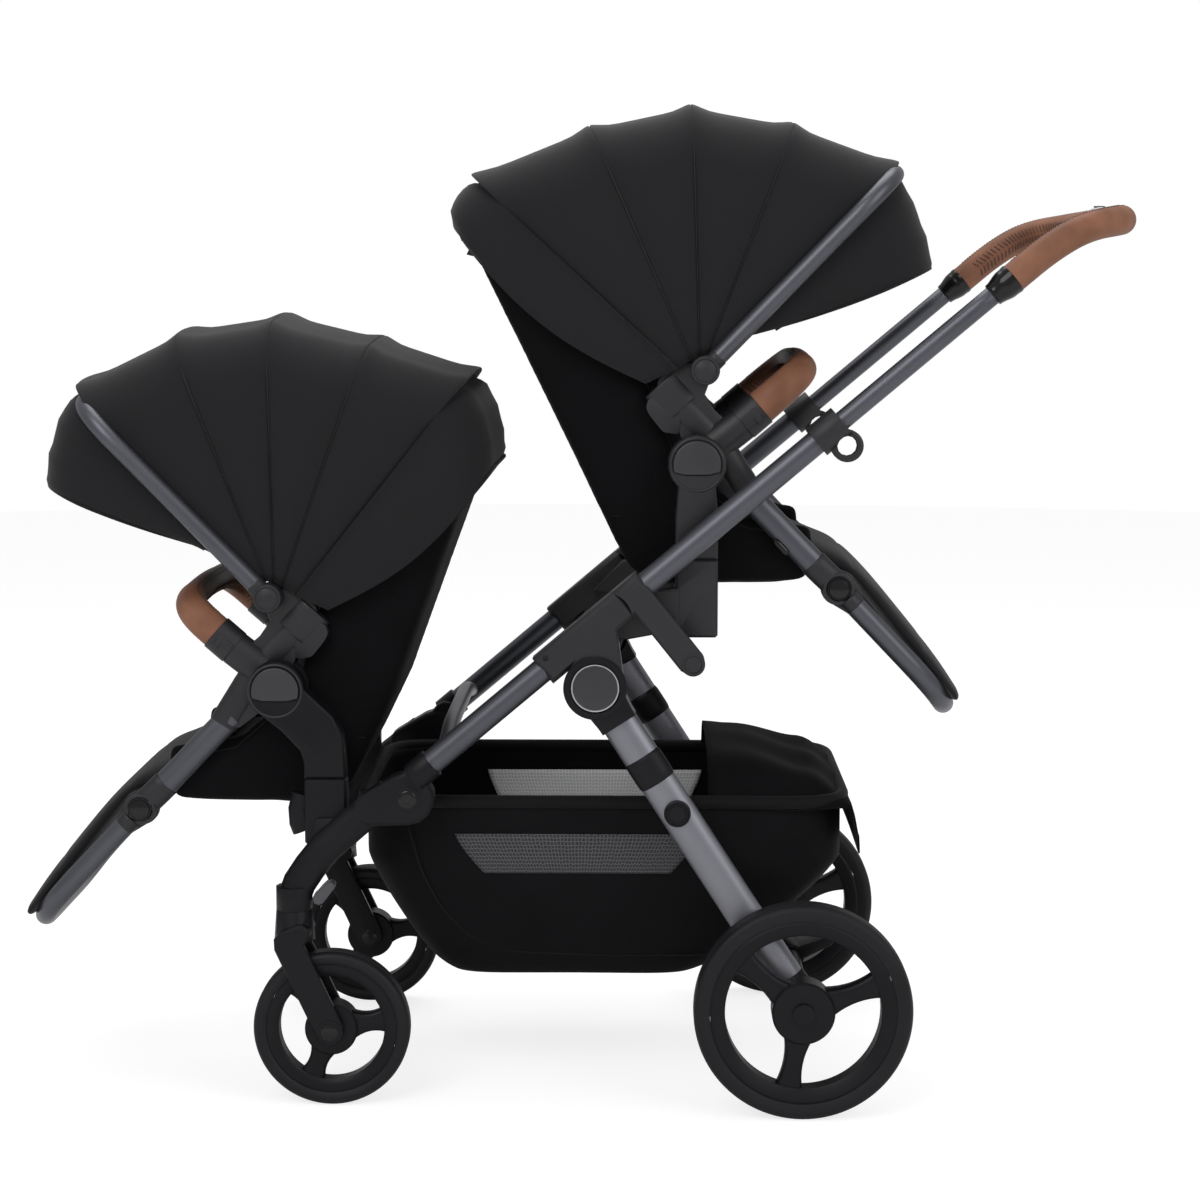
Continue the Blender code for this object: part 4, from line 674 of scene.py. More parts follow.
FINISHES = (
    Finish("gunmetal_tube", "gunmetal", (0.072, 0.074, 0.086), (0.094, 0.096, 0.11), (0.36, 0.44), 0.75,
           Pattern.BRUSHED, 2600.0, 0.07, 0.0001),
    # A lighter copy of the gunmetal finish for the rear legs: the extra lightness is painted light on the same
    # metal.
    Finish("leg_metal", "gunmetal", (0.176, 0.178, 0.2), (0.212, 0.214, 0.238), (0.38, 0.46), 0.75,
           Pattern.BRUSHED, 2600.0, 0.08, 0.0001),
    Finish("black_moulding", "black", (0.0088, 0.0088, 0.0108), (0.0128, 0.0128, 0.0152), (0.42, 0.55), 0.0,
           Pattern.GRAIN, 1800.0, 0.25, 0.0002, specular=0.38),
    Finish("satin_button", "black", (0.015, 0.015, 0.0178), (0.02, 0.02, 0.0235), (0.4, 0.52), 0.0,
           Pattern.GRAIN, 1800.0, 0.22, 0.0002, specular=0.5),
    # A darker copy of the black moulding for the low parts: partly a second, deeper black plastic, partly
    # painted shade where the light falls off towards the floor.
    Finish("deep_moulding", "black", (0.004, 0.004, 0.0052), (0.0064, 0.0064, 0.008), (0.36, 0.48), 0.0,
           Pattern.GRAIN, 1800.0, 0.22, 0.0002, specular=0.17),
    Finish("gloss_moulding", "black", (0.0042, 0.0042, 0.005), (0.0066, 0.0066, 0.0078), (0.14, 0.22), 0.0,
           Pattern.GRAIN, 700.0, 0.04, 0.0001, coat=0.12, specular=0.22),
    Finish("tyre_rubber", "tyre", (0.0066, 0.0066, 0.008), (0.0102, 0.0102, 0.012), (0.4, 0.58), 0.0,
           Pattern.GRAIN, 1200.0, 0.35, 0.0003, specular=0.2),
    Finish("grey_lever", "grey", (0.045, 0.045, 0.052), (0.065, 0.065, 0.074), (0.4, 0.5)),
    Finish("silver_trigger", "silver", (0.5, 0.51, 0.54), (0.58, 0.59, 0.62), (0.25, 0.33), 0.35,
           scale=1500.0),
    Finish("chrome_ring", "gunmetal", (0.42, 0.42, 0.44), (0.5, 0.5, 0.52), (0.12, 0.18), 1.0,
           Pattern.BRUSHED, 2000.0, 0.03, 0.0001),
    Finish("knit_fabric", "fabric", (0.0058, 0.0058, 0.007), (0.0086, 0.0086, 0.0102), (0.82, 0.92), 0.0,
           Pattern.KNIT, 620.0, 0.3, 0.0003, sheen=0.1, specular=0.25),
    Finish("seat_fabric", "fabric", (0.0024, 0.0024, 0.003), (0.004, 0.004, 0.0048), (0.84, 0.93), 0.0,
           Pattern.KNIT, 620.0, 0.3, 0.0003, sheen=0.02, specular=0.08),
    Finish("lining_fabric", "fabric", (0.0036, 0.0036, 0.0044), (0.0054, 0.0054, 0.0064), (0.85, 0.93), 0.0,
           Pattern.KNIT, 900.0, 0.25, 0.0003, sheen=0.06, specular=0.2),
    Finish("basket_cloth", "fabric", (0.003, 0.003, 0.0037), (0.005, 0.005, 0.0059), (0.7, 0.82), 0.0,
           Pattern.KNIT, 800.0, 0.35, 0.0003, sheen=0.01, specular=0.08),
    Finish("dark_net", "fabric", (0.014, 0.014, 0.016), (0.075, 0.075, 0.082), (0.6, 0.72), 0.0,
           Pattern.NET, 210.0, 0.6, 0.0006, specular=0.3, mapped=True),
    Finish("pale_net", "fabric", (0.62, 0.62, 0.63), (0.9, 0.9, 0.9), (0.62, 0.75), 0.0,
           Pattern.NET, 210.0, 0.6, 0.0006, specular=0.4, mapped=True),
    Finish("binding_tape", "fabric", (0.0026, 0.0026, 0.0034), (0.0044, 0.0044, 0.0052), (0.7, 0.8), 0.0,
           Pattern.KNIT, 1100.0, 0.45, 0.0003, sheen=0.04, specular=0.14),
    Finish("brown_leather", "leather", (0.15, 0.066, 0.04), (0.245, 0.112, 0.068), (0.42, 0.55), 0.0,
           Pattern.HIDE, 620.0, 0.3, 0.0004, specular=0.12),
    Finish("lacing_thread", "leather", (0.06, 0.026, 0.016), (0.095, 0.04, 0.024), (0.5, 0.62), 0.0,
           Pattern.HIDE, 1800.0, 0.3, 0.0002),
)


class Palette:
    """Every material of the stroller by name."""

    def __init__(self) -> None:
        """Build the effects and the materials."""
        effects = Effects()
        self.finish = {f.name: f for f in FINISHES}
        self.made = {f.name: f.make(effects) for f in FINISHES}

    def dress(
        self, piece: bpy.types.Object, finish: str, body: str | None = None, replaces: Sequence[str] = (),
    ) -> bpy.types.Object:
        """Give a piece its finish and its place in the moving model.

        Args:
            piece: The piece.
            finish: The finish's name.
            body: The body that it rides on, or None to leave it on no body.
            replaces: CAD nodes that it stands for.

        Returns:
            The piece.
        """
        piece.data.materials.clear()
        piece.data.materials.append(self.made[finish])
        if body is not None:
            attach(piece, body)
        if replaces:
            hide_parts(*replaces)
        LOG.info("%s: %s on %s", piece.name, finish, body)
        return piece

    def refine(
        self, node: str, finish: str, body: str, bevel: float = 0.0012, smooth: float = 34.0,
    ) -> bpy.types.Object:
        """Soften the edges of a moulded or cast CAD node with a copy that stands for it.

        Args:
            node: The CAD node.
            finish: The finish's name.
            body: The body that it rides on.
            bevel: Width of the softened edges.
            smooth: The angle under which faces shade as one, in degrees.

        Returns:
            The copy.
        """
        bm = bmesh.new()
        bm.from_mesh(frame["nodes"][node].data)
        bmesh.ops.remove_doubles(bm, verts=bm.verts, dist=2e-5)
        bmesh.ops.dissolve_limit(bm, angle_limit=math.radians(1.0), verts=bm.verts, edges=bm.edges)
        piece = new_piece(node + "_skin", bm)
        round_off = piece.modifiers.new("round_off", "BEVEL")
        round_off.width = bevel
        round_off.segments = 2
        round_off.limit_method = "ANGLE"
        round_off.angle_limit = math.radians(smooth)
        round_off.harden_normals = False
        settled(piece)
        piece.data.shade_smooth()
        piece.data.set_sharp_from_angle(angle=math.radians(smooth))
        return self.dress(piece, finish, body, [node])


# Chassis


@dataclass
class Chassis:
    """The rigid middle: hubs, front tubes, front legs, adapters and their trim."""

    palette: Palette
    main_angle: float = 40.1
    frame_y: float = 0.25
    front_tube_radius: float = 0.016
    front_tube_start: float = -0.3
    front_tube_end: float = -0.052
    bar_radius: float = 0.0105
    bar_rise: float = 0.018
    badge_radius: float = 0.031
    hub_outer: float = 0.27
    knuckle: Point = (-0.239, 0.402)
    knuckle_face: float = 0.2587
    knuckle_screw: float = 0.0115
    small_screw: float = 0.0034
    dial_radius: float = 0.0335
    origin_x: float = field(init=False)
    pivot: Vector = field(init=False)

    def __post_init__(self) -> None:
        """Find the chassis in the row frame."""
        self.pivot = joint_place("handle_fold")
        self.origin_x = joint_place("rear_fold").x

    def along(self, distance: float, y: float, offset: float = 0.0) -> Vector:
        """A point on the frame's main line."""
        c, s = math.cos(math.radians(self.main_angle)), math.sin(math.radians(self.main_angle))
        return Vector((self.pivot.x + c * distance - s * offset, y, self.pivot.z + s * distance + c * offset))

    def build(self) -> None:
        """Make and dress every chassis piece."""
        self.front_tubes()
        for side in Side:
            # The front legs and the lower adapters take the darker moulding, which is partly painted shade on
            # these low parts.
            for node, finish, width in (
                ("hub_housing", "black_moulding", 0.0016), ("front_leg", "deep_moulding", 0.002),
                ("upper_adapter", "black_moulding", 0.0012), ("lower_adapter", "deep_moulding", 0.0012),
            ):
                self.palette.refine(f"{node}_{side.label}", finish, "chassis", width)
            self.badge(side)
            self.fastenings(side)
            for prefix in ("upper", "lower"):
                self.dial(side, prefix)
            lock = f"swivel_lock_{side.label}"
            self.palette.refine(lock, "grey_lever", lock, 0.0015)

    def front_tubes(self) -> None:
        """The two front tubes and the bowed bar between them, in one piece."""
        parts = []
        for side in Side:
            y = side.value * self.frame_y
            path = [self.along(d, y) for d in between(self.front_tube_start, self.front_tube_end, 6)]
            parts.append(sleeve("tube", path, self.front_tube_radius, ACROSS, 32))
        bend = self.along(self.front_tube_start + 0.035, 0.0)
        y = self.frame_y
        corners = [(bend.x, -y, bend.z), (bend.x, -y * 0.6, bend.z + self.bar_rise),
                   (bend.x, y * 0.6, bend.z + self.bar_rise), (bend.x, y, bend.z)]
        path = even_path(rounded_path(corners, 0.05), 0.012)
        parts.append(sleeve("bar", path, self.bar_radius, Vector((1, 0, 0)), 20))
        self.palette.dress(joined("front_tubes", parts), "gunmetal_tube", "chassis", ["front_frame"])

    def badge(self, side: Side) -> None:
        """The bare disc on the hub, with its thin bright ring.

        Args:
            side: Which side it is on.
        """
        centre = joint_place("rear_fold")
        out = side.value
        spot = Vector((centre.x, out * (self.hub_outer + 0.002), centre.z))
        r = self.badge_radius
        ring = turned(
            f"hub_ring_{side.label}",
            [(r - 0.0026, -0.0002), (r - 0.0008, -0.0002), (r - 0.0005, 0.0006), (r - 0.001, 0.0012),
             (r - 0.0022, 0.0012), (r - 0.0029, 0.0005)],
            spot, 96, out=out,
        )
        self.palette.dress(ring, "chrome_ring", "chassis")
        plate = turned(
            f"hub_plate_{side.label}",
            [(0.0, -0.0002), (r - 0.0026, -0.0002), (r - 0.0028, 0.0006), (r - 0.006, 0.0009),
             (r * 0.5, 0.0012), (0.0, 0.0013)],
            spot, 96, closed=False, out=out,
        )
        self.palette.dress(plate, "satin_button", "chassis")

    def fastenings(self, side: Side) -> None:
        """Hex socket screws in the knuckle, the hub and the front tube.

        Args:
            side: Which side it is on.
        """
        out = side.value
        x, z = self.knuckle
        spots = [(self.origin_x + x, self.knuckle_face, z, self.knuckle_screw)]
        for distance, offset in ((-0.088, 0.011), (-0.04, -0.034)):
            spot = self.along(distance, self.hub_outer, offset)
            spots.append((*spot, self.small_screw))
        heads = []
        for x, y, z, radius in spots:
            inner = radius * 0.52
            profile = [(0.0, 0.0004), (inner, 0.0004), (inner, 0.0014), (radius * 0.9, 0.0016),
                       (radius, 0.0008), (radius, -0.0012), (0.0, -0.0012)]
            heads.append(turned("head", profile, Vector((x, out * y, z)), 24, closed=False, out=out))
        self.palette.dress(joined(f"frame_screws_{side.label}", heads), "gloss_moulding", "chassis")

    def dial(self, side: Side, prefix: str) -> None:
        """The raised rim round a seat's pivot disc.

        Args:
            side: Which side it is on.
            prefix: The seat, upper or lower.
        """
        pivot = joint_place(f"{prefix}_seat_tilt")
        low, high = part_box(f"{prefix}_adapter_{side.label}")
        face = high.y if side is Side.RIGHT else low.y
        r = self.dial_radius
        ring = turned(
            f"{prefix}_dial_{side.label}",
            [(r - 0.0018, -0.0006), (r - 0.0012, 0.0009), (r + 0.0002, 0.0013), (r + 0.0014, 0.0007),
             (r + 0.0018, -0.0006)],
            Vector((pivot.x, face, pivot.z)), 72, out=side.value,
        )
        self.palette.dress(ring, "black_moulding", "chassis")


@dataclass
class HandleFrame:
    """The folding handle tubes, their clamps and arms, and the telescopic push handle."""

    palette: Palette
    chassis: Chassis
    tube_radius: float = 0.0155
    tube_start: float = 0.049
    tube_end: float = 0.38
    inner_radius: float = 0.0122
    inner_start: float = 0.33
    collar_start: float = 0.628
    collar_end: float = 0.656
    collar_radius: float = 0.0185
    grip_radius: float = 0.0188
    reach: float = 0.666
    height: float = 1.133
    corner_inset: float = 0.055
    fillet: float = 0.055
    foot_radius: float = 0.0152
    foot_inset: float = 0.0148
    pocket: float = 0.0052
    eye: Point = (0.3715, -0.028)
    eye_half: float = 0.007

    def build(self) -> None:
        """Make and dress every handle piece."""
        for side in Side:
            self.outer_tube(side)
            self.palette.refine(f"ring_clamp_{side.label}", "black_moulding", "handle_frame", 0.0012)
            self.palette.refine(f"hinge_arm_{side.label}", "black_moulding", "handle_frame", 0.0018)
            self.eye_ring(side)
            self.stand_foot(side)
        self.inner_tubes()
        self.grip()
        self.trigger()

    def outer_tube(self, side: Side) -> None:
        """One smooth outer tube.

        Args:
            side: Which side it is on.
        """
        y = side.value * self.chassis.frame_y
        path = [self.chassis.along(d, y) for d in between(self.tube_start, self.tube_end, 8)]
        tube = sleeve(f"outer_tube_{side.label}", path, self.tube_radius, ACROSS, 32)
        self.palette.dress(tube, "gunmetal_tube", "handle_frame", [f"handle_tube_{side.label}"])

    def eye_ring(self, side: Side) -> None:
        """The smooth lip of the accessory eye.

        Args:
            side: Which side it is on.
        """
        centre = self.chassis.along(self.eye[0], side.value * self.chassis.frame_y, self.eye[1])
        parts = []
        for way in (-1, 1):
            profile = [(0.0124, 0.0), (0.0128, 0.0012), (0.015, 0.0016), (0.019, 0.0014), (0.0203, 0.0004),
                       (0.0203, -0.001), (0.0124, -0.001)]
            spot = Vector((centre.x, centre.y + way * self.eye_half, centre.z))
            parts.append(turned("lip", profile, spot, 48, out=way))
        self.palette.dress(joined(f"eye_lip_{side.label}", parts), "black_moulding", "handle_frame")

    def path(self) -> list[Vector]:
        """The centre line of the grip, from collar to collar.

        Returns:
            The points from the left collar to the right one.
        """
        start = self.chassis.along(self.collar_end, 0.0)
        knee = self.chassis.along(self.collar_end + 0.06, 0.0)
        x = self.chassis.origin_x
        y = self.chassis.frame_y
        near = [
            (start.x, -y, start.z), (knee.x, -y, knee.z), (x + self.reach - 0.06, -y, self.height - 0.01),
            (x + self.reach, -y + self.corner_inset, self.height),
        ]
        far = [(a, -b, c) for a, b, c in reversed(near)]
        return even_path(rounded_path(near + far, self.fillet, 12), 0.006)

    def stand_foot(self, side: Side) -> None:
        """The round foot of the hinge arm with its inlaid disc.

        Args:
            side: Which side it is on.
        """
        low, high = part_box(f"hinge_arm_{side.label}")
        r = self.foot_radius
        out = side.value
        face = (high.y if out > 0 else low.y) + 0.0006 * out
        profile = [(0.0, 0.0), (r * 0.66, 0.0), (r * 0.69, -0.0009), (r * 0.73, -0.0009), (r * 0.76, 0.0),
                   (r - 0.0014, 0.0), (r, -0.0014), (r, -0.038), (0.0, -0.038)]
        spot = Vector((high.x - self.foot_inset, face, low.z + self.foot_inset))
        foot = turned(f"stand_foot_{side.label}", profile, spot, 72, closed=False, out=out)
        self.palette.dress(foot, "black_moulding", "handle_frame")

    def inner_tubes(self) -> None:
        """The two telescopic tubes with their glossy end collars."""
        tubes, collars = [], []
        for side in Side:
            y = side.value * self.chassis.frame_y
            path = [self.chassis.along(d, y) for d in between(self.inner_start, self.collar_start + 0.01, 8)]
            tubes.append(sleeve("tube", path, self.inner_radius, ACROSS, 32))
            path = [self.chassis.along(d, y) for d in between(self.collar_start, self.collar_end + 0.004, 10)]
            r = self.collar_radius

            def flare(share: float) -> float:
                """The collar swells towards the grip and ends in a bead."""
                return r * (0.8 + 0.24 * ease(share * 1.5)) if share < 0.82 else r * 1.07

            collars.append(sleeve("collar", path, flare, ACROSS, 36))
        self.palette.dress(joined("inner_tubes", tubes), "gunmetal_tube", "push_handle", ["handle_bar"])
        self.palette.dress(joined("grip_collars", collars), "gloss_moulding", "push_handle")

    def grip(self) -> None:
        """The leather grip, with a recess under the trigger, lacing along its inner side and stitches along its
        top seam.
        """
        path = self.path()
        low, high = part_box("fold_trigger")
        half_y = (high.y - low.y) / 2 * 1.02
        core = Vector((self.chassis.origin_x + self.reach, 0.0, self.height))
        dense = [p for p in path if abs(abs(p.y) - half_y) > 0.004]
        for y in (-half_y - 0.0022, -half_y - 0.001, half_y + 0.001, half_y + 0.0022):
            dense.append(Vector((core.x, y, core.z)))
        middle = sorted([p for p in dense if abs(p.y) < 0.08], key=lambda p: p.y)
        first = next(i for i, p in enumerate(path) if p.y >= -0.08)
        last = len(path) - first
        skin = sleeve("push_grip", path[:first] + middle + path[last:], self.grip_radius, ACROSS, 40)
        for vert in skin.data.vertices:
            out = Vector((vert.co.x - core.x, vert.co.z - core.z))
            turn = abs(math.degrees(math.atan2(out.x, out.y)))
            if abs(vert.co.y) < half_y + 0.0015 and turn < 74:
                out = out.normalized() * (self.grip_radius - self.pocket)
                vert.co = Vector((core.x + out.x, vert.co.y, core.z + out.y))
        self.palette.dress(skin, "brown_leather", "push_handle", ["handle_grip"])
        lace = Lacing(self.palette, path, self.grip_radius)
        for name, piece in (
            ("grip_lacing_near", lace.stitches(0.04, 0.4)), ("grip_lacing_far", lace.stitches(0.6, 0.96)),
            ("grip_seam_near", lace.run(Vector((0, 0, 1)), 0.02, 0.45)),
            ("grip_seam_far", lace.run(Vector((0, 0, 1)), 0.55, 0.98)),
        ):
            piece.name = name
            self.palette.dress(piece, "lacing_thread", "push_handle")

    def trigger(self) -> None:
        """The pale trigger with its dark finger dimple."""
        low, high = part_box("fold_trigger")
        centre = (low + high) / 2
        half_y = (high.y - low.y) / 2
        radius = self.grip_radius + 0.0022
        core = Vector((self.chassis.origin_x + self.reach, 0.0, self.height))

        def place(s: float, t: float) -> Vector:
            """A saddle over the grip's crown.

            Args:
                s: From -1 to 1 across the crown.
                t: From -1 to 1 along the grip.

            Returns:
                The point.
            """
            angle = math.radians(90 + 66 * s)
            edge = 1 - 0.07 * abs(t) ** 6 - 0.06 * abs(s) ** 8
            r = radius * edge
            return core + Vector((math.cos(angle) * r, t * half_y * 1.02, math.sin(angle) * r))

        cap = lattice("trigger_cap", between(-1, 1, 16), between(-1, 1, 20), place)
        wall = cap.modifiers.new("wall", "SOLIDIFY")
        wall.thickness = 0.0022
        wall.offset = -1 if cap.data.polygons[0].normal.z > 0 else 1
        settled(cap)
        self.palette.dress(cap, "silver_trigger", "fold_trigger", ["fold_trigger"])
        knob = turned(
            "trigger_knob", [(0.0, 0.0), (0.0075, 0.0), (0.0078, 0.0012), (0.0066, 0.002), (0.0, 0.0012)],
            Vector((centre.x, 0.0, core.z + radius - 0.0004)), 32, upright=True, closed=False,
        )
        self.palette.dress(knob, "gloss_moulding", "fold_trigger")


@dataclass
class Lacing:
    """The thread work on a leather cover."""

    palette: Palette
    path: list[Vector]
    radius: float
    taper: Callable[[float], float] | None = None
    pitch: float = 0.0062
    thread: float = 0.00085
    seam_pitch: float = 0.0042
    seam_thread: float = 0.00045

    def size(self, share: float) -> float:
        """The cover's radius at a share of its length."""
        return self.radius * (self.taper(share) if self.taper else 1.0)

    def stitches(self, start: float, end: float) -> bpy.types.Object:
        """Cross stitches along the inner side of a bent bar.

        Args:
            start: Share of the length where the lacing starts.
            end: Share where it ends.

        Returns:
            The stitches as one piece.
        """
        path = even_path(self.path, self.pitch)
        middle = sum(path, Vector()) / len(path)
        first, last = int(len(path) * start), int(len(path) * end)
        parts = []
        for k in range(max(1, first), min(len(path) - 1, last)):
            heading = (path[k + 1] - path[k - 1]).normalized()
            inward = middle - path[k]
            inward = (inward - heading * inward.dot(heading)).normalized()
            lift = heading.cross(inward)
            for way in (-1, 1):
                stitch = []
                for t in between(0.0, 1.0, 4):
                    angle = way * math.radians(6 + 30 * t)
                    out = inward * math.cos(angle) + lift * math.sin(angle)
                    raise_by = self.size(k / len(path)) + self.thread * (0.2 + 0.7 * math.sin(math.pi * t))
                    stitch.append(path[k] + out * raise_by + heading * self.pitch * (0.55 * t - 0.27))
                parts.append(sleeve("stitch", stitch, self.thread, lift, 6, cap=False))
        return joined("stitches", parts)

    def run(self, up: Vector, start: float, end: float) -> bpy.types.Object:
        """Two runs of short stitches beside the seam.

        Args:
            up: Where the seam lies round the bar.
            start: Share of the length where it starts.
            end: Share where it ends.

        Returns:
            The stitches as one piece.
        """
        path = even_path(self.path, self.seam_pitch)
        parts = []
        for k in range(int(len(path) * start) + 1, int(len(path) * end) - 1):
            heading = (path[k + 1] - path[k - 1]).normalized()
            top = (up - heading * up.dot(heading)).normalized()
            side = heading.cross(top)
            for way in (-1, 1):
                angle = way * math.radians(9)
                out = top * math.cos(angle) + side * math.sin(angle)
                base = path[k] + out * (self.size(k / len(path)) + 0.00015)
                stitch = [base - heading * 0.0013, base + heading * 0.0013]
                parts.append(sleeve("stitch", stitch, self.seam_thread, side, 5, cap=False))
        return joined("run", parts)


@dataclass
class RearFrame:
    """The folding rear legs, their axle, pedal and trim."""

    palette: Palette
    frame_y: float
    length: float = 0.4865
    angle: float = -57.2
    width: float = 0.047
    thickness: float = 0.03
    start: float = 0.041
    head_inner: float = 0.0319
    head_outer: float = 0.0402
    gap: float = 0.0384
    clip: Point = (0.108, 0.146)
    cap_at: float = 0.192

    def build(self) -> None:
        """Make and dress every rear piece."""
        for side in Side:
            self.leg(side)
        # The axle and the pedal take the darker moulding, which is partly painted shade on these low parts.
        self.palette.refine("rear_axle", "deep_moulding", "rear_legs", 0.0008)
        self.palette.refine("brake_pedal", "deep_moulding", "brake_pedal", 0.0012)

    def head(self, side: Side) -> bpy.types.Object:
        """The cast ring round the hub's disc, with the neck that runs into the leg.

        Args:
            side: Which leg it belongs to.

        Returns:
            The head, to be joined with the collars.
        """
        pivot = joint_place("rear_fold")
        base = (pivot.x, pivot.z)
        out = side.value
        near, far = self.head_inner, self.head_outer
        ring = turned(
            "ring", [(near, 0.2704), (far - 0.0012, 0.2704), (far, 0.2712), (far, 0.2728),
                     (far - 0.0014, 0.2742), (near + 0.0006, 0.2742), (near, 0.2736)],
            Vector((pivot.x, 0.0, pivot.z)), 96, out=out,
        )
        arc = [polar(base, self.gap, self.angle + a) for a in between(-44.0, 44.0, 14)]
        wide = self.width / 2 + 0.001
        slim = wide - 0.0002
        for along, across in ((0.047, wide), (0.056, slim), (0.056, -slim), (0.047, -wide)):
            arc.append(polar(polar(base, along, self.angle), across, self.angle + 90.0))
        neck = flat_part("neck", arc, 0.235 * out, 0.2736 * out, 0.0014)
        return joined("head", [ring, neck])

    def leg(self, side: Side) -> None:
        """One oval leg with its clip, cap and axle boss.

        Args:
            side: Which side it is on.
        """
        pivot = joint_place("rear_fold")
        y = side.value * self.frame_y
        base = (pivot.x, pivot.z)

        def line(first: float, last: float, steps: int) -> list[Vector]:
            """Points down the leg.

            Args:
                first: Where they start, from the pivot.
                last: Where they end.
                steps: How many gaps they leave.

            Returns:
                The points.
            """
            made = []
            for d in between(first, last, steps):
                x, z = polar(base, d, self.angle)
                made.append(Vector((x, y, z)))
            return made

        down = Vector((math.cos(math.radians(self.angle)), 0, math.sin(math.radians(self.angle))))
        wide = Vector((-down.z, 0, down.x))
        leg = sleeve(
            f"leg_tube_{side.label}", line(self.start + 0.006, self.length + 0.018, 12),
            self.width / 2, wide, 40, self.thickness / self.width,
        )
        # The legs wear the lighter copy of the gunmetal, whose extra lightness is painted light.
        self.palette.dress(leg, "leg_metal", "rear_legs", [f"rear_leg_{side.label}"])
        collars = [self.head(side)]
        for first, last, swell in ((*self.clip, 1.07), (self.length - 0.036, self.length + 0.026, 1.1)):
            collars.append(sleeve(
                "collar", line(first, last, 8),
                lambda s, k=swell: self.width / 2 * (k - 0.05 * abs(2 * s - 1) ** 6),
                wide, 40, (self.thickness + 0.002) / self.width,
            ))
        spot = polar(base, self.cap_at, self.angle)
        out = side.value
        face = y + out * self.thickness / 2
        collars.append(turned(
            "cap", [(0.0, 0.005), (0.0105, 0.005), (0.0112, 0.0036), (0.0135, 0.0036), (0.015, 0.0052),
                    (0.0168, 0.0042), (0.0172, -0.001)],
            Vector((spot[0], face, spot[1])), 48, closed=False, out=out,
        ))
        # The leg collars take the darker moulding, which is partly painted shade on these low parts.
        self.palette.dress(joined(f"leg_collars_{side.label}", collars), "deep_moulding", "rear_legs")


@dataclass
class Wheel:
    """A wheel with a treaded tyre and a rim with three wide spokes."""

    palette: Palette
    tyre_node: str
    rim_node: str
    body: str
    axis: Vector
    radius: float
    width: float
    rim_radius: float
    window: float
    hub: float
    first_spoke: float
    bore: float

    def build(self) -> None:
        """Make tyre, rim and hub cap."""
        self.tyre()
        self.rim()

    def tyre(self) -> None:
        """The tyre with a rounded shoulder and four fine tread lines."""
        half = self.width / 2
        r, inner = self.radius, self.rim_radius + 0.0003
        edge = [(inner, half * 0.8), (r - 0.012, half * 0.99), (r - 0.007, half), (r - 0.0032, half * 0.9),
                (r - 0.001, half * 0.72)]
        crown = []
        for mark in (0.52, 0.18):
            crown += [(r - 0.0003, half * (mark + 0.05)), (r - 0.0016, half * (mark + 0.02)),
                      (r - 0.0016, half * (mark - 0.02)), (r - 0.0002, half * (mark - 0.05))]
        right = edge + crown
        profile = right + [(a, -b) for a, b in reversed(right)]
        tyre = turned(self.tyre_node + "_tread", profile, self.axis, 120)
        self.palette.dress(tyre, "tyre_rubber", self.body, [self.tyre_node])

    def rim(self) -> None:
        """The rim ring, hub and spokes as one moulding."""
        half = self.width / 2
        outer, window, hub = self.rim_radius, self.window, self.hub
        ring = turned("ring", [
            (outer, half * 0.78), (outer - 0.003, half * 0.84), (window + 0.0025, half * 0.66),
            (window, half * 0.56), (window, -half * 0.56), (window + 0.0025, -half * 0.66),
            (outer - 0.003, -half * 0.84), (outer, -half * 0.78),
        ], self.axis, 96)
        face = half * 0.98
        cap = turned("hub", [
            (self.bore + 0.0003, face * 0.96), (hub * 0.52, face * 0.96), (hub * 0.56, face * 0.9),
            (hub * 0.62, face * 0.9), (hub * 0.66, face), (hub * 0.94, face * 0.96), (hub, face * 0.82),
            (hub, -face * 0.82), (hub * 0.94, -face * 0.96), (self.bore + 0.0003, -face),
        ], self.axis, 72)
        spokes = [self.spoke(self.first_spoke + turn) for turn in (0.0, 120.0, 240.0)]
        piece = joined(self.rim_node + "_moulding", [ring, cap, *spokes])
        # The rim takes the darker moulding, which is partly painted shade on these low parts.
        self.palette.dress(piece, "deep_moulding", self.body, [self.rim_node])

    def spoke(self, degrees: float) -> bpy.types.Object:
        """One wide spoke that flares into hub and rim.

        Args:
            degrees: The spoke's direction in the side view.

        Returns:
            The spoke, to be joined with the rim.
        """
        start, end = self.hub * 0.72, (self.window + self.rim_radius) / 2
        centre = (self.axis.x, self.axis.z)

        def place(s: float, t: float) -> Vector:
            """A rounded bar section that is narrowest half way out.

            Args:
                s: Share of the way round the section.
                t: Share of the way out.

            Returns:
                The point.
            """
            mid = (2 * t - 1) ** 2
            half_width = 0.0125 + 0.0085 * mid
            half_deep = self.width / 2 * (0.52 + 0.22 * (1 - t) - 0.04 * (1 - mid))
            angle = s * 2 * math.pi
            c, d = math.cos(angle), math.sin(angle)
            a = math.copysign(abs(c) ** 0.55, c) * half_width
            b = math.copysign(abs(d) ** 0.55, d) * half_deep
            x, z = polar(centre, start + (end - start) * t, degrees)
            ux, uz = polar((0.0, 0.0), 1.0, degrees + 90)
            return Vector((x + ux * a, self.axis.y + b, z + uz * a))

        return lattice("spoke", between(0, 1, 24), between(0, 1, 10), place, weld=True)


WHEEL_SIZES = {
    "front": {"radius": 0.101, "width": 0.036, "rim_radius": 0.084, "window": 0.068, "hub": 0.034,
              "first_spoke": 8.0, "bore": 0.006},
    "rear": {"radius": 0.13906, "width": 0.042, "rim_radius": 0.118, "window": 0.099, "hub": 0.04,
             "first_spoke": 20.0, "bore": 0.008},
}


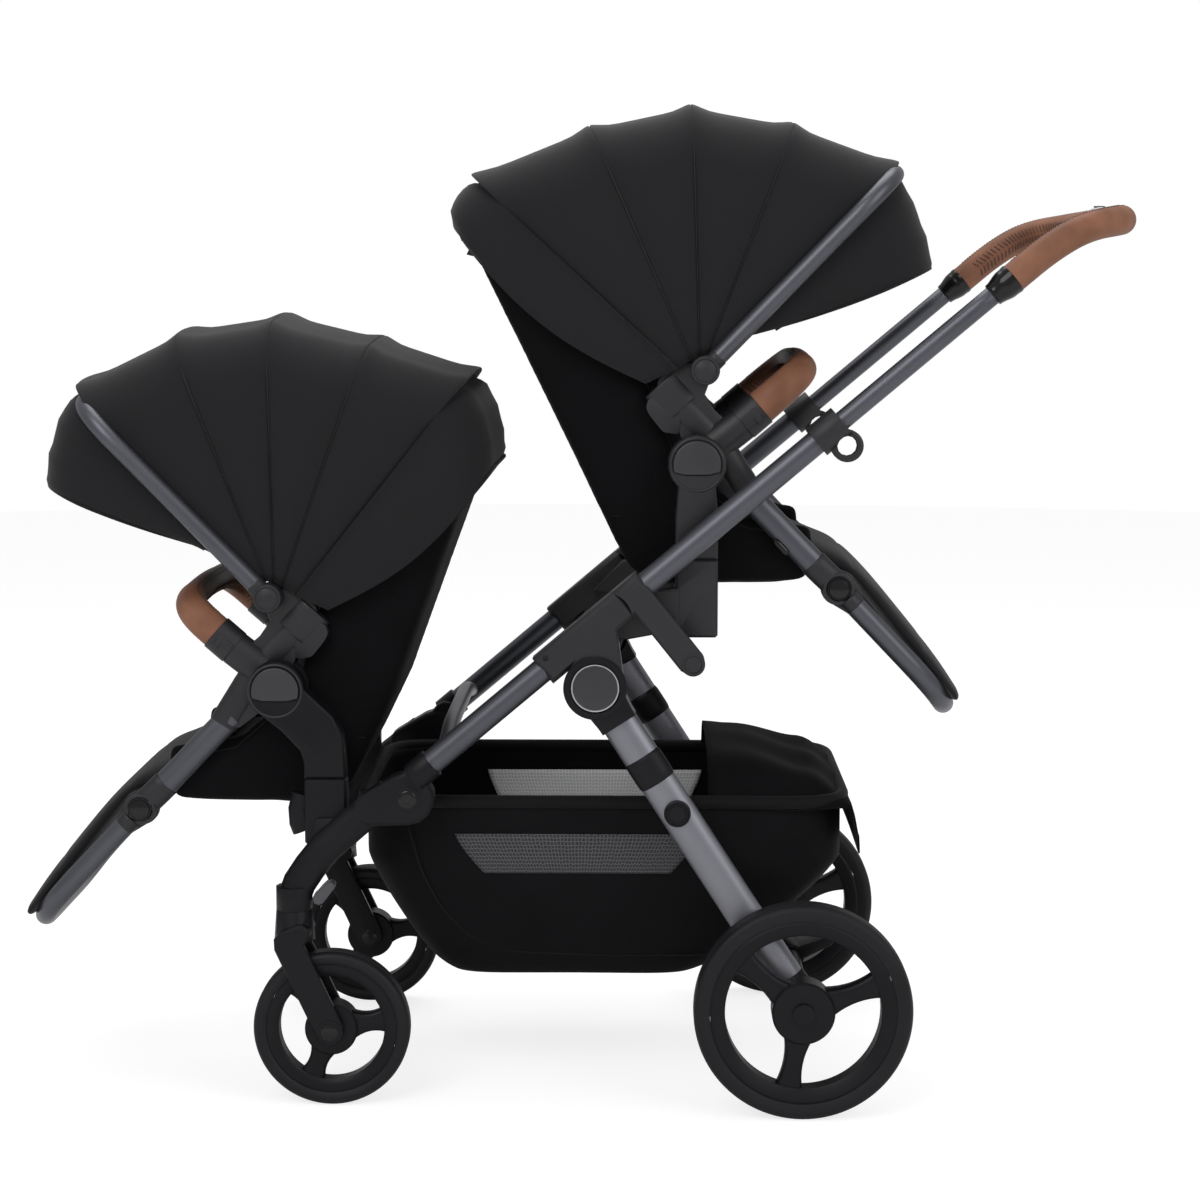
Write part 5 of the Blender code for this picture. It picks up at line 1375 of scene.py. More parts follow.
@dataclass
class RunningGear:
    """Forks and wheels."""

    palette: Palette

    def build(self) -> None:
        """Make and dress forks and wheels on both sides."""
        for side in Side:
            word = side.label
            # The forks take the darker moulding, which is partly painted shade on these low parts.
            self.palette.refine(f"caster_fork_{word}", "deep_moulding", f"caster_{word}", 0.0016)
            for end, sizes in WHEEL_SIZES.items():
                Wheel(
                    self.palette, f"{end}_tyre_{word}", f"{end}_rim_{word}", f"{end}_wheel_{word}",
                    joint_place(f"{end}_wheel_{word}_spin"), **sizes,
                ).build()
            self.axle_cap(side)

    def axle_cap(self, side: Side) -> None:
        """The domed caps on both arms of one fork.

        Args:
            side: Which side it is on.
        """
        out = side.value
        fork_low, fork_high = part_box(f"caster_fork_{side.label}")
        spot = joint_place(f"front_wheel_{side.label}_spin")
        for way, y in ((1, fork_high.y), (-1, fork_low.y)):
            cap = turned(
                f"fork_cap_{side.label}_{'outer' if way == out else 'inner'}",
                [(0.0, 0.0016), (0.009, 0.0014), (0.011, 0.0006), (0.0118, -0.001)],
                Vector((spot.x, y, spot.z)), 40, closed=False, out=way,
            )
            self.palette.dress(cap, "gloss_moulding", f"caster_{side.label}")


# Cloth and placing


def relaxed(piece: bpy.types.Object, rounds: int) -> bpy.types.Object:
    """Smooth a piece's points, each time half way towards their neighbours.

    Args:
        piece: The piece.
        rounds: How many times.

    Returns:
        The same piece.
    """
    bm = bmesh.new()
    bm.from_mesh(piece.data)
    for _ in range(rounds):
        bmesh.ops.smooth_vert(
            bm, verts=bm.verts, factor=0.5, use_axis_x=True, use_axis_y=True, use_axis_z=True
        )
    bm.to_mesh(piece.data)
    bm.free()
    return piece


def inflated(
    piece: bpy.types.Object, voxel: float, limit: float, pressure: float = 4.0, rounds: int = 2,
) -> bpy.types.Object:
    """Blow a firm shape up into a stuffed one with a short cloth simulation.

    Args:
        piece: A closed shape, slightly smaller than the wanted one.
        voxel: Size of the even faces it is made of first.
        limit: The furthest that a point may move.
        pressure: The air pressure.
        rounds: Smoothing rounds before and after.

    Returns:
        The same piece, with its mesh final.
    """
    even = piece.modifiers.new("even", "REMESH")
    even.mode = "VOXEL"
    even.voxel_size = voxel
    settled(piece)
    relaxed(piece, rounds)
    rest = [v.co.copy() for v in piece.data.vertices]
    cloth = piece.modifiers.new("cloth", "CLOTH")
    cloth.settings.quality = 5
    cloth.settings.use_pressure = True
    cloth.settings.uniform_pressure_force = pressure
    cloth.settings.effector_weights.gravity = 0.0
    cloth.point_cache.frame_start = 1
    cloth.point_cache.frame_end = 20
    scene = bpy.context.scene
    for number in range(1, 21):
        scene.frame_set(number)
    shown = piece.evaluated_get(bpy.context.evaluated_depsgraph_get()).data
    moved = [v.co.copy() for v in shown.vertices]
    piece.modifiers.clear()
    scene.frame_set(1)
    for vert, start, end in zip(piece.data.vertices, rest, moved):
        step = end - start
        if step.length > limit:
            step *= limit / step.length
        vert.co = start + step
    relaxed(piece, rounds)
    piece.data.shade_smooth()
    return piece


@dataclass(frozen=True)
class SeatPlace:
    """Where a seat stands and which way its child faces."""

    prefix: str
    pivot: Vector
    facing: int
    lean: float = 0.0

    @property
    def matrix(self) -> Matrix:
        """From the seat's own frame to the row frame."""
        turn = 0.0 if self.facing > 0 else math.pi
        return Matrix.Translation(self.pivot) @ Matrix.Rotation(turn, 4, "Z")

    def at(self, u: float, v: float, w: float) -> Vector:
        """A seat point in the row frame."""
        return self.matrix @ Vector((u, v, w))

    def body(self, part: str) -> str:
        """The name of one of the seat's bodies."""
        return f"{self.prefix}_{part}"

    def copy(self, source: bpy.types.Object, name: str, leans: bool = False) -> bpy.types.Object:
        """Place a copy of a piece that is made in the seat's own frame.

        Args:
            source: The piece in the seat's frame.
            name: The copy's name without the seat's prefix.
            leans: Let it follow this seat's more upright back.

        Returns:
            The copy.
        """
        mesh = source.data.copy()
        if leans and self.lean:
            for vert in mesh.vertices:
                vert.co.x += self.lean * max(0.0, vert.co.z + 0.02)
        mesh.transform(self.matrix)
        piece = bpy.data.objects.new(self.body(name), mesh)
        bpy.context.scene.collection.objects.link(piece)
        return piece


@dataclass
class SeatPart:
    """A part that both seats share: it is made once and placed twice."""

    palette: Palette
    places: Sequence[SeatPlace]

    def local_node(self, node: str) -> bpy.types.Object:
        """A copy of an upper seat's CAD node in the seat's own frame.

        Args:
            node: The node's name without its seat.

        Returns:
            The copy.
        """
        bm = bmesh.new()
        bm.from_mesh(frame["nodes"]["upper_" + node].data)
        bmesh.ops.remove_doubles(bm, verts=bm.verts, dist=2e-5)
        bmesh.ops.translate(bm, verts=bm.verts, vec=-self.places[0].pivot)
        return new_piece("local_" + node, bm)

    def spread(
        self, source: bpy.types.Object, name: str, finish: str, part: str | None, nodes: Sequence[str] = (),
        leans: bool = False,
    ) -> list[bpy.types.Object]:
        """Place a part on both seats and dress it.

        Args:
            source: The part in the seat's frame, which is removed.
            name: Its name without a seat's prefix.
            finish: Its finish.
            part: The seat's body that it rides on, or None to leave it on no body.
            nodes: The seat's CAD nodes that it stands for, without the prefix.
            leans: Let it follow the lower seat's more upright back.

        Returns:
            The two pieces.
        """
        made = []
        for place in self.places:
            piece = place.copy(source, name, leans)
            body = place.body(part) if part else None
            self.palette.dress(piece, finish, body, [place.body(n) for n in nodes])
            made.append(piece)
        bpy.data.objects.remove(source)
        return made


# Canopy


@dataclass(frozen=True)
class Rib:
    """A line of the hood from its inner end beside the hinge to its outer end over the middle."""

    angle: float
    radius: float
    inner: Point


@dataclass(frozen=True)
class HoodShape:
    """How the cloth of one seat's hood stands.

    The rear line gives the radius of the panel behind the last rib, and the brim line that of the brim. The
    brim's two angles are those of its lower edge at the tip and beside the hinge.
    """

    ribs: tuple[Rib, ...]
    hem: Rib
    rear: tuple[Point, ...]
    brim: tuple[Point, ...]
    tip: float
    inner: float


UPPER_HOOD = HoodShape(
    (
        Rib(46.6, 0.3605, (0.03, 0.136)), Rib(69.9, 0.3305, (0.012, 0.138)), Rib(92.9, 0.334, (0.003, 0.137)),
        Rib(115.5, 0.34, (-0.007, 0.131)), Rib(140.5, 0.387, (-0.024, 0.12)),
    ),
    Rib(151.9, 0.354, (-0.066, 0.101)),
    (
        (0.0, 0.387), (0.004, 0.3765), (0.12, 0.3815), (0.38, 0.385), (0.64, 0.384), (0.86, 0.373),
        (1.0, 0.355),
    ),
    ((0.0, 0.35), (0.1, 0.347), (0.22, 0.343), (0.6, 0.3325), (0.9, 0.324), (1.0, 0.3195)),
    23.4, 29.8,
)
LOWER_HOOD = HoodShape(
    (
        Rib(46.6, 0.3705, (0.03, 0.136)), Rib(69.6, 0.355, (0.012, 0.138)), Rib(90.2, 0.3515, (0.003, 0.137)),
        Rib(111.5, 0.345, (-0.007, 0.131)), Rib(132.4, 0.378, (-0.024, 0.12)),
    ),
    Rib(150.9, 0.326, (-0.066, 0.101)),
    ((0.0, 0.378), (0.004, 0.368), (0.12, 0.369), (0.34, 0.362), (0.6, 0.351), (0.84, 0.337), (1.0, 0.327)),
    ((0.0, 0.361), (0.1, 0.3635), (0.22, 0.361), (0.6, 0.347), (0.9, 0.3345), (1.0, 0.328)),
    24.8, 35.8,
)


@dataclass
class Canopy(SeatPart):
    """The pleated hood as one continuous sheet from the bow to the rear hem, and its visor."""

    shape: HoodShape
    centre: Point = (0.01, 0.118)
    side: float = 0.1985
    corner: float = 0.072
    crown: float = 0.009
    seam: float = 0.0055
    thickness: float = 0.0028
    brim_angle: float = 44.9
    panel_length: float = 0.148
    brim_length: float = 0.11
    arch: float = 0.6
    shares: Sequence[float] = (
        0.0, 0.007, 0.018, 0.045, 0.1, 0.18, 0.28, 0.39, 0.5, 0.61, 0.72, 0.82, 0.9, 0.955, 0.982, 0.993,
    )

    @property
    def ribs(self) -> tuple[Rib, ...]:
        """The hood's ribs from the bow backwards."""
        return self.shape.ribs

    def section(self, s: float, radius: float) -> tuple[float, float, float]:
        """A point of the arch from the left hinge over the top to the right hinge.

        Args:
            s: From -1 at the left hinge to 1 at the right one.
            radius: The rib's length from its inner end.

        Returns:
            The share of the rib's length, y, and how much of the place is top rather than side.
        """
        straight, bend = radius - self.corner, self.corner * math.pi / 2
        top = self.side - self.corner
        total = straight + bend + top
        d = abs(s) * total
        sign = math.copysign(1.0, s)
        if d <= top:
            lift = self.crown * (1 - (d / top) ** 2)
            return (radius + lift) / radius, sign * d, 1.0
        if d <= top + bend:
            angle = (d - top) / self.corner
            return ((radius - self.corner * (1 - math.cos(angle))) / radius,
                    sign * (top + self.corner * math.sin(angle)), math.cos(angle))
        run = (d - top - bend) / straight
        return (radius - self.corner) / radius * (1 - run), sign * self.side, 0.0

    def chord(self, a: Rib, b: Rib, angle: float) -> float:
        """The radius at an angle on the straight line between two ribs' outer ends.

        Args:
            a: The first rib.
            b: The second rib.
            angle: The angle in degrees.

        Returns:
            The radius.
        """
        turn = math.radians(b.angle - a.angle)
        first, last = math.radians(angle - a.angle), math.radians(b.angle - angle)
        return a.radius * b.radius * math.sin(turn) / (a.radius * math.sin(first) + b.radius * math.sin(last))

    def columns(self) -> list[tuple[int, float]]:
        """The sheet's columns as (panel, share) from the bow to the hem.

        Returns:
            One pair for each column.
        """
        made = [(k, f) for k in range(len(self.ribs) - 1) for f in self.shares]
        rear = (0.0, 0.004, 0.03, 0.08, 0.16, 0.28, 0.42, 0.56, 0.7, 0.82, 0.9, 0.945, 0.955, 0.975, 1.0)
        return made + [(len(self.ribs) - 1, f) for f in rear]

    def point(self, panel: int, f: float, s: float) -> Vector:
        """A point of the sheet in the seat's frame.

        Args:
            panel: Number of the panel, from the bow.
            f: Share of the way through it.
            s: Place on the arch.

        Returns:
            The point.
        """
        rear = panel == len(self.ribs) - 1
        a = self.ribs[panel]
        b = self.shape.hem if rear else self.ribs[panel + 1]
        angle = a.angle + (b.angle - a.angle) * f
        edge = min(f, 1 - f)
        if rear:
            radius = curve_through(self.shape.rear, f)
        else:
            shoulder = math.exp(-((f / 0.13) ** 2)) + math.exp(-(((1 - f) / 0.13) ** 2))
            radius = self.chord(a, b, angle) - 0.0045 + 0.0055 * shoulder
        fold = self.fold(panel, f, edge)
        outer = polar(self.centre, radius, angle)
        inner = (a.inner[0] + (b.inner[0] - a.inner[0]) * f, a.inner[1] + (b.inner[1] - a.inner[1]) * f)
        reach = math.hypot(outer[0] - inner[0], outer[1] - inner[1])
        share, y, top = self.section(s, reach)
        u = inner[0] + (outer[0] - inner[0]) * share
        w = inner[1] + (outer[1] - inner[1]) * share
        along = ((outer[0] - inner[0]) / reach, (outer[1] - inner[1]) / reach)
        side = 1 - top
        swell = 0.0085 * math.sin(math.pi * f) ** 0.8 * math.sin(math.pi * min(1.0, share)) * side
        y += math.copysign(swell * (0.5 if rear else 1.0) - fold * side, y)
        sag = 0.019 * f * math.sin(math.pi * min(1.0, share)) if rear else 0.0
        pull = fold * top
        return Vector((u - along[0] * pull - sag * 0.55, y, w - along[1] * pull - sag))

    def fold(self, panel: int, f: float, edge: float) -> float:
        """Depth of the sewn groove at a share of a panel.

        Args:
            panel: Number of the panel, from the bow.
            f: Share of the way through it.
            edge: Distance to the nearer seam, as a share.

        Returns:
            The depth, which a bead makes negative.
        """
        if panel == len(self.ribs) - 1:
            tuck = 0.005 * math.exp(-((max(0.0, f - 0.004) / 0.1) ** 2)) * (1 if f > 0.003 else 0)
            bead = -0.0012 if f > 0.96 else (0.0016 if 0.93 < f < 0.96 else 0.0)
            return tuck + bead
        if panel == 0 and f < 0.5:
            return 0.0
        return 0.0026 * math.exp(-((edge / self.seam) ** 2))

    def build(self) -> None:
        """Make the sheet and the visor."""
        columns = self.columns()
        rows = between(-1.0, 1.0, 84)

        def place(column: float, row: float) -> Vector:
            """The sheet's point at a column number and a place on the arch."""
            panel, f = columns[int(column)]
            return self.point(panel, f, row)

        def measure(column: float, row: float) -> Point:
            """Metres along the sheet and across it."""
            panel, f = columns[int(column)]
            return (panel + f) * self.panel_length, row * self.arch

        sheet = lattice("canopy", list(range(len(columns))), rows, place, measure)
        self.thicken(sheet, self.thickness)
        pieces = self.spread(sheet, "canopy", "knit_fabric", None, ("hood_rear", "hood_mid", "hood_front"))
        start = polar(self.centre, 0.352, self.ribs[-1].angle - 3)
        end = polar(self.centre, 0.349, self.ribs[0].angle)
        for place_at, piece in zip(self.places, pieces):
            place_at.body("seat")
            place_at.body("hood")
            place_at.at(start[0], 0, start[1])
            place_at.at(end[0], 0, end[1])
            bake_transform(piece)
            place_at.body("hood_bow")
            place_at.body("seat_frame")
        self.visor()

    def thicken(self, piece: bpy.types.Object, thickness: float) -> None:
        """Give a sheet its thickness inwards.

        Args:
            piece: The sheet, in the seat's frame.
            thickness: The wall's thickness.
        """
        middle = piece.data.polygons[len(piece.data.polygons) // 2]
        away = Vector((middle.center.x - self.centre[0], 0, middle.center.z - self.centre[1]))
        walled(piece, thickness, -1 if middle.normal.dot(away) > 0 else 1)

    def visor(self) -> None:
        """The deep brim in front of the bow."""
        rows = between(-1.0, 1.0, 84)
        shares = (0.0, 0.03, 0.08, 0.18, 0.3, 0.42, 0.54, 0.66, 0.78, 0.87, 0.93, 0.95, 0.965, 0.98, 1.0)
        centre = self.centre

        def place(f: float, s: float) -> Vector:
            """The brim's point at a share of its depth.

            Args:
                f: Share of the way from the bow to the tip.
                s: Place on the arch.

            Returns:
                The point.
            """
            angle = self.brim_angle + (self.shape.tip - self.brim_angle) * f
            radius = curve_through(self.shape.brim, f)
            outer = polar(centre, radius, angle)
            start, end = polar(centre, 0.062, 41.0), polar(centre, 0.104, self.shape.inner)
            inner = (start[0] + (end[0] - start[0]) * f, start[1] + (end[1] - start[1]) * f)
            reach = math.hypot(outer[0] - inner[0], outer[1] - inner[1])
            share, y, top = self.section(s, reach)
            u = inner[0] + (outer[0] - inner[0]) * share
            w = inner[1] + (outer[1] - inner[1]) * share
            droop = 0.005 * f * math.sin(math.pi * min(1.0, share))
            bead = 0.0012 if f > 0.975 else (-0.0012 if 0.94 < f < 0.97 else 0.0)
            inset = 0.0055 + 0.01 * f - 0.004 * math.sin(math.pi * f)
            y -= math.copysign(min(abs(y), inset * (1 - top) + inset * 0.6 * top) - bead * (1 - top), y)
            return Vector((u, y, w - droop + bead * top))

        def measure(f: float, s: float) -> Point:
            """Metres along the brim and across it."""
            return f * self.brim_length, s * self.arch

        brim = lattice("visor", list(shares), rows, place, measure)
        self.thicken(brim, 0.0026)
        for place_at, piece in zip(self.places, self.spread(brim, "visor", "knit_fabric", "hood")):
            place_at.body("hood_bow")


# Seat


@dataclass
class SeatBody(SeatPart):
    """The fabric bucket, its liner and the harness."""

    half: float = 0.1667
    back_foot: Point = (-0.103, -0.088)
    back_top: Point = (-0.286, 0.288)
    swell: float = 0.0045
    slack: float = 0.985
    webbing: float = 0.025

    def build(self) -> None:
        """Make the bucket, the liner, their seams and the harness."""
        self.bucket()
        self.liner()
        self.seams()
        self.harness()

    def bucket(self) -> None:
        """The stiffened fabric shell with soft edges."""
        shell = self.local_node("seat_shell")
        inflated(shell, voxel=0.006, limit=0.004, rounds=3)
        for vert in shell.data.vertices:
            vert.co += vert.normal * self.swell
        for piece in self.spread(shell, "bucket", "seat_fabric", "seat", ("seat_shell",), leans=True):
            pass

    def liner(self) -> None:
        """The stuffed liner on the back and the floor."""
        pad = self.local_node("seat_pad")
        for vert in pad.data.vertices:
            vert.co *= self.slack
        inflated(pad, voxel=0.006, limit=0.008)
        for piece in self.spread(pad, "liner", "lining_fabric", "seat", ("seat_pad",), leans=True):
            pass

    def line(self, points: Sequence[tuple[float, float, float]], radius: float) -> bpy.types.Object:
        """A thin sewn welt through points."""
        path = even_path([Vector(p) for p in points], 0.006)
        return sleeve("welt", path, radius, Vector((0, 1, 0.2)), 8)

    def seams(self) -> None:
        """Welts where the bucket's panels are sewn together."""
        parts = []
        for side in (-1, 1):
            y = side * (self.half + 0.0028)
            parts.append(self.line([(-0.108, y, -0.07), (-0.07, y, -0.0675), (0.02, y, -0.066)], 0.0011))
            parts.append(self.line([(-0.064, y, -0.068), (-0.061, y, -0.106), (-0.052, y, -0.14)], 0.001))
            parts.append(self.line([(0.01, y, -0.04), (0.06, y, -0.083), (0.14, y, -0.098)], 0.0011))
        self.spread(joined("seams", parts), "seams", "binding_tape", "seat", leans=True)

    def strap(
        self, points: Sequence[Vector], width: float, thickness: float, side: Vector,
    ) -> bpy.types.Object:
        """A flat webbing strap through points."""
        path = even_path(rounded_path(points, 0.03), 0.008)
        return sleeve("strap", path, width / 2, side, 20, thickness / width)

    def front(self, distance: float, out: float) -> tuple[float, float]:
        """A side view point up the back's line and out in front of it.

        Args:
            distance: How far up from the back's foot.
            out: How far out in front.

        Returns:
            The point.
        """
        back = (Vector(self.back_top) - Vector(self.back_foot)).normalized()
        normal = Vector((back.y, -back.x))
        foot = Vector(self.back_foot) + back * distance + normal * out
        return foot.x, foot.y

    def harness(self) -> None:
        """Shoulder straps with pads, hip straps, a crotch strap and a round buckle."""
        straps, pads = [], []
        buckle = self.front(0.055, 0.074)
        for side in (-1, 1):
            y = side * 0.052
            high, middle = self.front(0.3, 0.046), self.front(0.19, 0.056)
            points = [Vector((high[0], y, high[1])), Vector((middle[0], y, middle[1])),
                      Vector((buckle[0], side * 0.018, buckle[1] + 0.01))]
            straps.append(self.strap(points, self.webbing, 0.002, ACROSS))
            top, low = self.front(0.285, 0.051), self.front(0.165, 0.062)
            pads.append(self.strap([Vector((top[0], y, top[1])), Vector((low[0], side * 0.047, low[1]))],
                                   0.046, 0.012, ACROSS))
            hip = self.front(0.03, 0.048)
            points = [Vector((hip[0], side * 0.138, hip[1])),
                      Vector((hip[0] + 0.03, side * 0.085, hip[1] + 0.004)),
                      Vector((buckle[0], side * 0.022, buckle[1] - 0.004))]
            straps.append(self.strap(points, self.webbing, 0.002, Vector((0, 0, 1))))
        floor = -0.0985
        straps.append(self.strap(
            [Vector((buckle[0] + 0.055, 0, floor)), Vector((buckle[0] + 0.045, 0, floor + 0.03)),
             Vector((buckle[0] + 0.002, 0, buckle[1] - 0.006))], 0.03, 0.0022, ACROSS,
        ))
        self.spread(joined("straps", straps), "harness_straps", "binding_tape", "seat", leans=True)
        stuffed = joined("shoulder_pads", pads)
        for piece in self.spread(stuffed, "shoulder_pads", "lining_fabric", "seat", leans=True):
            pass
        disc = turned(
            "buckle", [(0.0, 0.0095), (0.01, 0.0095), (0.0115, 0.0082), (0.019, 0.0078), (0.0215, 0.0055),
                       (0.0215, -0.004), (0.0195, -0.0055), (0.0, -0.0055)],
            Vector((0, 0, 0)), 40, upright=True, closed=False,
        )
        tilt = math.atan2(self.back_top[0] - self.back_foot[0], self.back_top[1] - self.back_foot[1])
        turn = Matrix.Rotation(math.pi / 2 + tilt, 4, "Y")
        disc.data.transform(Matrix.Translation((buckle[0] + 0.004, 0, buckle[1])) @ turn)
        self.spread(disc, "buckle", "gloss_moulding", "seat", leans=True)


@dataclass
class SeatStructure(SeatPart):
    """The seat's side hubs, tubes, hood bow, bumper bar and leg rest."""

    hood: Point = (0.01, 0.118)
    leg: Point = (0.183, -0.161)
    hub_inner: float = 0.1697
    hub_outer: float = 0.1937
    hub_y: float = 0.1817
    tube_lift: float = 0.013
    tube_deep: float = 0.0118
    tube_share: float = 1.42
    bow_y: float = 0.2055
    bow_radius: float = 0.0115
    bow_angle: float = 45.6
    hood_radius: float = 0.341
    stub: Point = (0.058, 0.05)
    bumper_angle: float = 38.0
    bumper_arms: Point = (0.11, 0.09)
    bumper_rise: float = 0.01
    bumper_radius: float = 0.019
    bumper_oval: float = 1.17
    end_radius: float = 0.0204
    loop_radius: float = 0.0138
    loop_length: float = 0.22
    cover_half: float = 0.1655
    loop_angle: float = -46.5

    def build(self) -> None:
        """Make every hard part of the seats."""
        self.hubs()
        self.tubes()
        self.bow()
        self.bumper()
        self.leg_loop()
        self.knee_cover()
        self.buttons()
        self.latches()

    @property
    def heading(self) -> float:
        """Direction of the leg tube in degrees."""
        return math.degrees(math.atan2(self.leg[1], self.leg[0]))

    @property
    def reach(self) -> float:
        """Distance from the pivot disc to the leg rest's hinge."""
        return math.hypot(*self.leg)

    def offset_point(self, distance: float) -> tuple[float, float]:
        """A side view point of the tube, a little above the line from the pivot to the leg rest.

        Args:
            distance: How far it is from the pivot.

        Returns:
            The point.
        """
        u, w = polar((0.0, 0.0), distance, self.heading)
        lift = self.tube_lift * (1 - ease((distance - 0.04) / (self.reach - 0.04)) * 0.92)
        turn = math.radians(self.heading + 90)
        return u + math.cos(turn) * lift, w + math.sin(turn) * lift

    def beside(self, side: int, points: Sequence[Point], more: float = 0.0) -> list[Vector]:
        """Side view points, carried out to the middle plane of one side's hub."""
        return [Vector((u, side * (self.hub_y + more), w)) for u, w in points]

    def tube_line(self, start: float, end: float, steps: int) -> list[Point]:
        """Side view points of the tube between two distances from the pivot."""
        return [self.offset_point(d) for d in between(start, end, steps)]

    def hubs(self) -> None:
        """The black Y of each side hub with its sleeve, socket, cheek and lever flap."""
        mouldings, flaps = [], []
        for side in (-1, 1):
            inner, outer = side * self.hub_inner, side * self.hub_outer
            disc = round_end((0.0, 0.0), 0.0362, 0, 350, 35)
            mouldings.append(flat_part("hub", disc, inner, outer, 0.0012))
            outline = soft_outline((
                (0.022, -0.004), (-0.012, 0.012), (-0.026, 0.046), (-0.052, 0.084), (-0.05, 0.108),
                (-0.03, 0.124), (-0.008, 0.128),
            ), 0.01) + round_end(self.hood, 0.017, 140, -70, 16)
            outline += [(0.01, 0.086), (0.024, 0.066), (0.04, 0.052), (0.046, 0.02)]
            mouldings.append(flat_part("arm", outline, inner, outer - side * 0.0046, 0.0022))
            block = self.beside(side, ((-0.046, 0.1), (-0.034, 0.087), (-0.018, 0.07)), 0.0006)
            mouldings.append(sleeve("block", even_path(block, 0.004), 0.0122, ACROSS, 36, 2.15))
            bends = ((-0.024, 0.076), (0.004, 0.048), (0.034, 0.014), self.offset_point(0.088))
            waist = even_path(rounded_path(self.beside(side, bends), 0.02), 0.005)
            mouldings.append(sleeve("waist", waist, 0.012, ACROSS, 32, 1.58))
            socket = self.beside(side, (polar(self.stub, -0.045, self.bumper_angle), self.stub))
            mouldings.append(sleeve("socket", even_path(socket, 0.006), self.end_radius * 0.965,
                                    ACROSS, 36, self.bumper_oval))
            path = self.beside(side, self.tube_line(self.reach - 0.046, self.reach - 0.01, 5), 0.0002)
            mouldings.append(sleeve("cheek", path, 0.0122, ACROSS, 32, 1.5))
            web = [(0.02, -0.01), (0.05, -0.01), (0.076, -0.054), (0.052, -0.054), (0.028, -0.036)]
            mouldings.append(flat_part("web", web, inner, outer - side * 0.005, 0.001))
            knuckle = round_end(self.leg, 0.0205, 0, 350, 35)
            mouldings.append(flat_part("knuckle", knuckle, side * (self.hub_y + 0.0008), outer, 0.0016))
            flap = soft_outline((
                (-0.062, 0.08), (-0.065, 0.07), (-0.06, 0.06), (-0.043, 0.039), (-0.023, 0.036),
                (-0.02, 0.06), (-0.052, 0.086),
            ), 0.004)
            flaps.append(flat_part("flap", flap, inner + side * 0.003, outer - side * 0.003, 0.001))
        under = polar((0.0, 0.0), self.reach - 0.075, self.heading)
        path = even_path([Vector((under[0], v, under[1])) for v in (-self.hub_y, self.hub_y)], 0.01)
        mouldings.append(sleeve("under_bar", path, 0.008, Vector((1, 0, 0)), 20))
        hub = joined("mouldings", mouldings)
        self.spread(hub, "hub_mouldings", "black_moulding", "seat", ("seat_frame",))
        self.spread(joined("flaps", flaps), "lever_flaps", "black_moulding", "seat")

    def tubes(self) -> None:
        """The tubes down to the leg rest, with a small pill button on one of them."""
        tubes, pills, knobs = [], [], []
        for side in (-1, 1):
            path = self.beside(side, self.tube_line(0.072, self.reach - 0.032, 10))
            tubes.append(sleeve("tube", path, self.tube_deep, ACROSS, 40, self.tube_share))
            if side < 0:
                path = [p - Vector((0.01, 0, 0.0115))
                        for p in self.beside(side, self.tube_line(0.142, 0.164, 8), 0.005)]
                pills.append(sleeve("pill", path, lambda s: 0.0068 - 0.001 * abs(2 * s - 1) ** 4,
                                    ACROSS, 20, 0.9))
            face = side * (self.hub_outer + 0.0002)
            knobs.append(turned(
                "knob", [(0.0, 0.0036), (0.0075, 0.0032), (0.0124, 0.0018), (0.0134, 0.0004),
                         (0.0146, 0.0004), (0.0155, 0.0012), (0.0166, 0.0002), (0.0168, -0.0012)],
                Vector((self.leg[0], face, self.leg[1])), 56, closed=False, out=side,
            ))
        self.spread(joined("seat_tubes", tubes), "seat_tubes", "gunmetal_tube", "seat")
        self.spread(joined("pills", pills + knobs), "seat_pills", "gloss_moulding", "seat")

    def bow(self) -> None:
        """The hood's smooth bow with its hinge discs."""
        start = polar(self.hood, 0.009, self.bow_angle)
        end = polar(self.hood, self.hood_radius + self.bow_radius * 0.5, self.bow_angle)
        y = self.bow_y
        corners = [(start[0], -y, start[1]), (end[0], -y, end[1]),
                   (end[0], y, end[1]), (start[0], y, start[1])]
        path = even_path(rounded_path(corners, 0.078, 16), 0.01)
        tube = sleeve("bow", path, self.bow_radius, Vector((0, 0, 1)), 28)
        self.spread(tube, "bow_tube", "gunmetal_tube", "hood", ("hood_bow",))
        parts = []
        for side in (-1, 1):
            face = side * (self.bow_y + self.bow_radius + 0.0004)
            parts.append(turned(
                "cap", [(0.0, 0.0016), (0.011, 0.0014), (0.0122, 0.0005), (0.014, 0.0005), (0.0152, 0.0018),
                        (0.0172, 0.0014), (0.0184, 0.0), (0.0186, -0.022), (0.0, -0.022)],
                Vector((self.hood[0], face, self.hood[1])), 56, closed=False, out=side,
            ))
            line = [polar(self.hood, d, self.bow_angle) for d in between(0.01, 0.024, 6)]
            path = [Vector((u, side * self.bow_y, w)) for u, w in line]
            parts.append(sleeve("ferrule", path, 0.0124, ACROSS, 28))
        self.spread(joined("caps", parts), "bow_hinges", "black_moulding", "hood")

    @staticmethod
    def taper(share: float) -> float:
        """The leather is slimmer in its middle."""
        return 1.0 - 0.15 * ease(min(share, 1 - share) / 0.34)

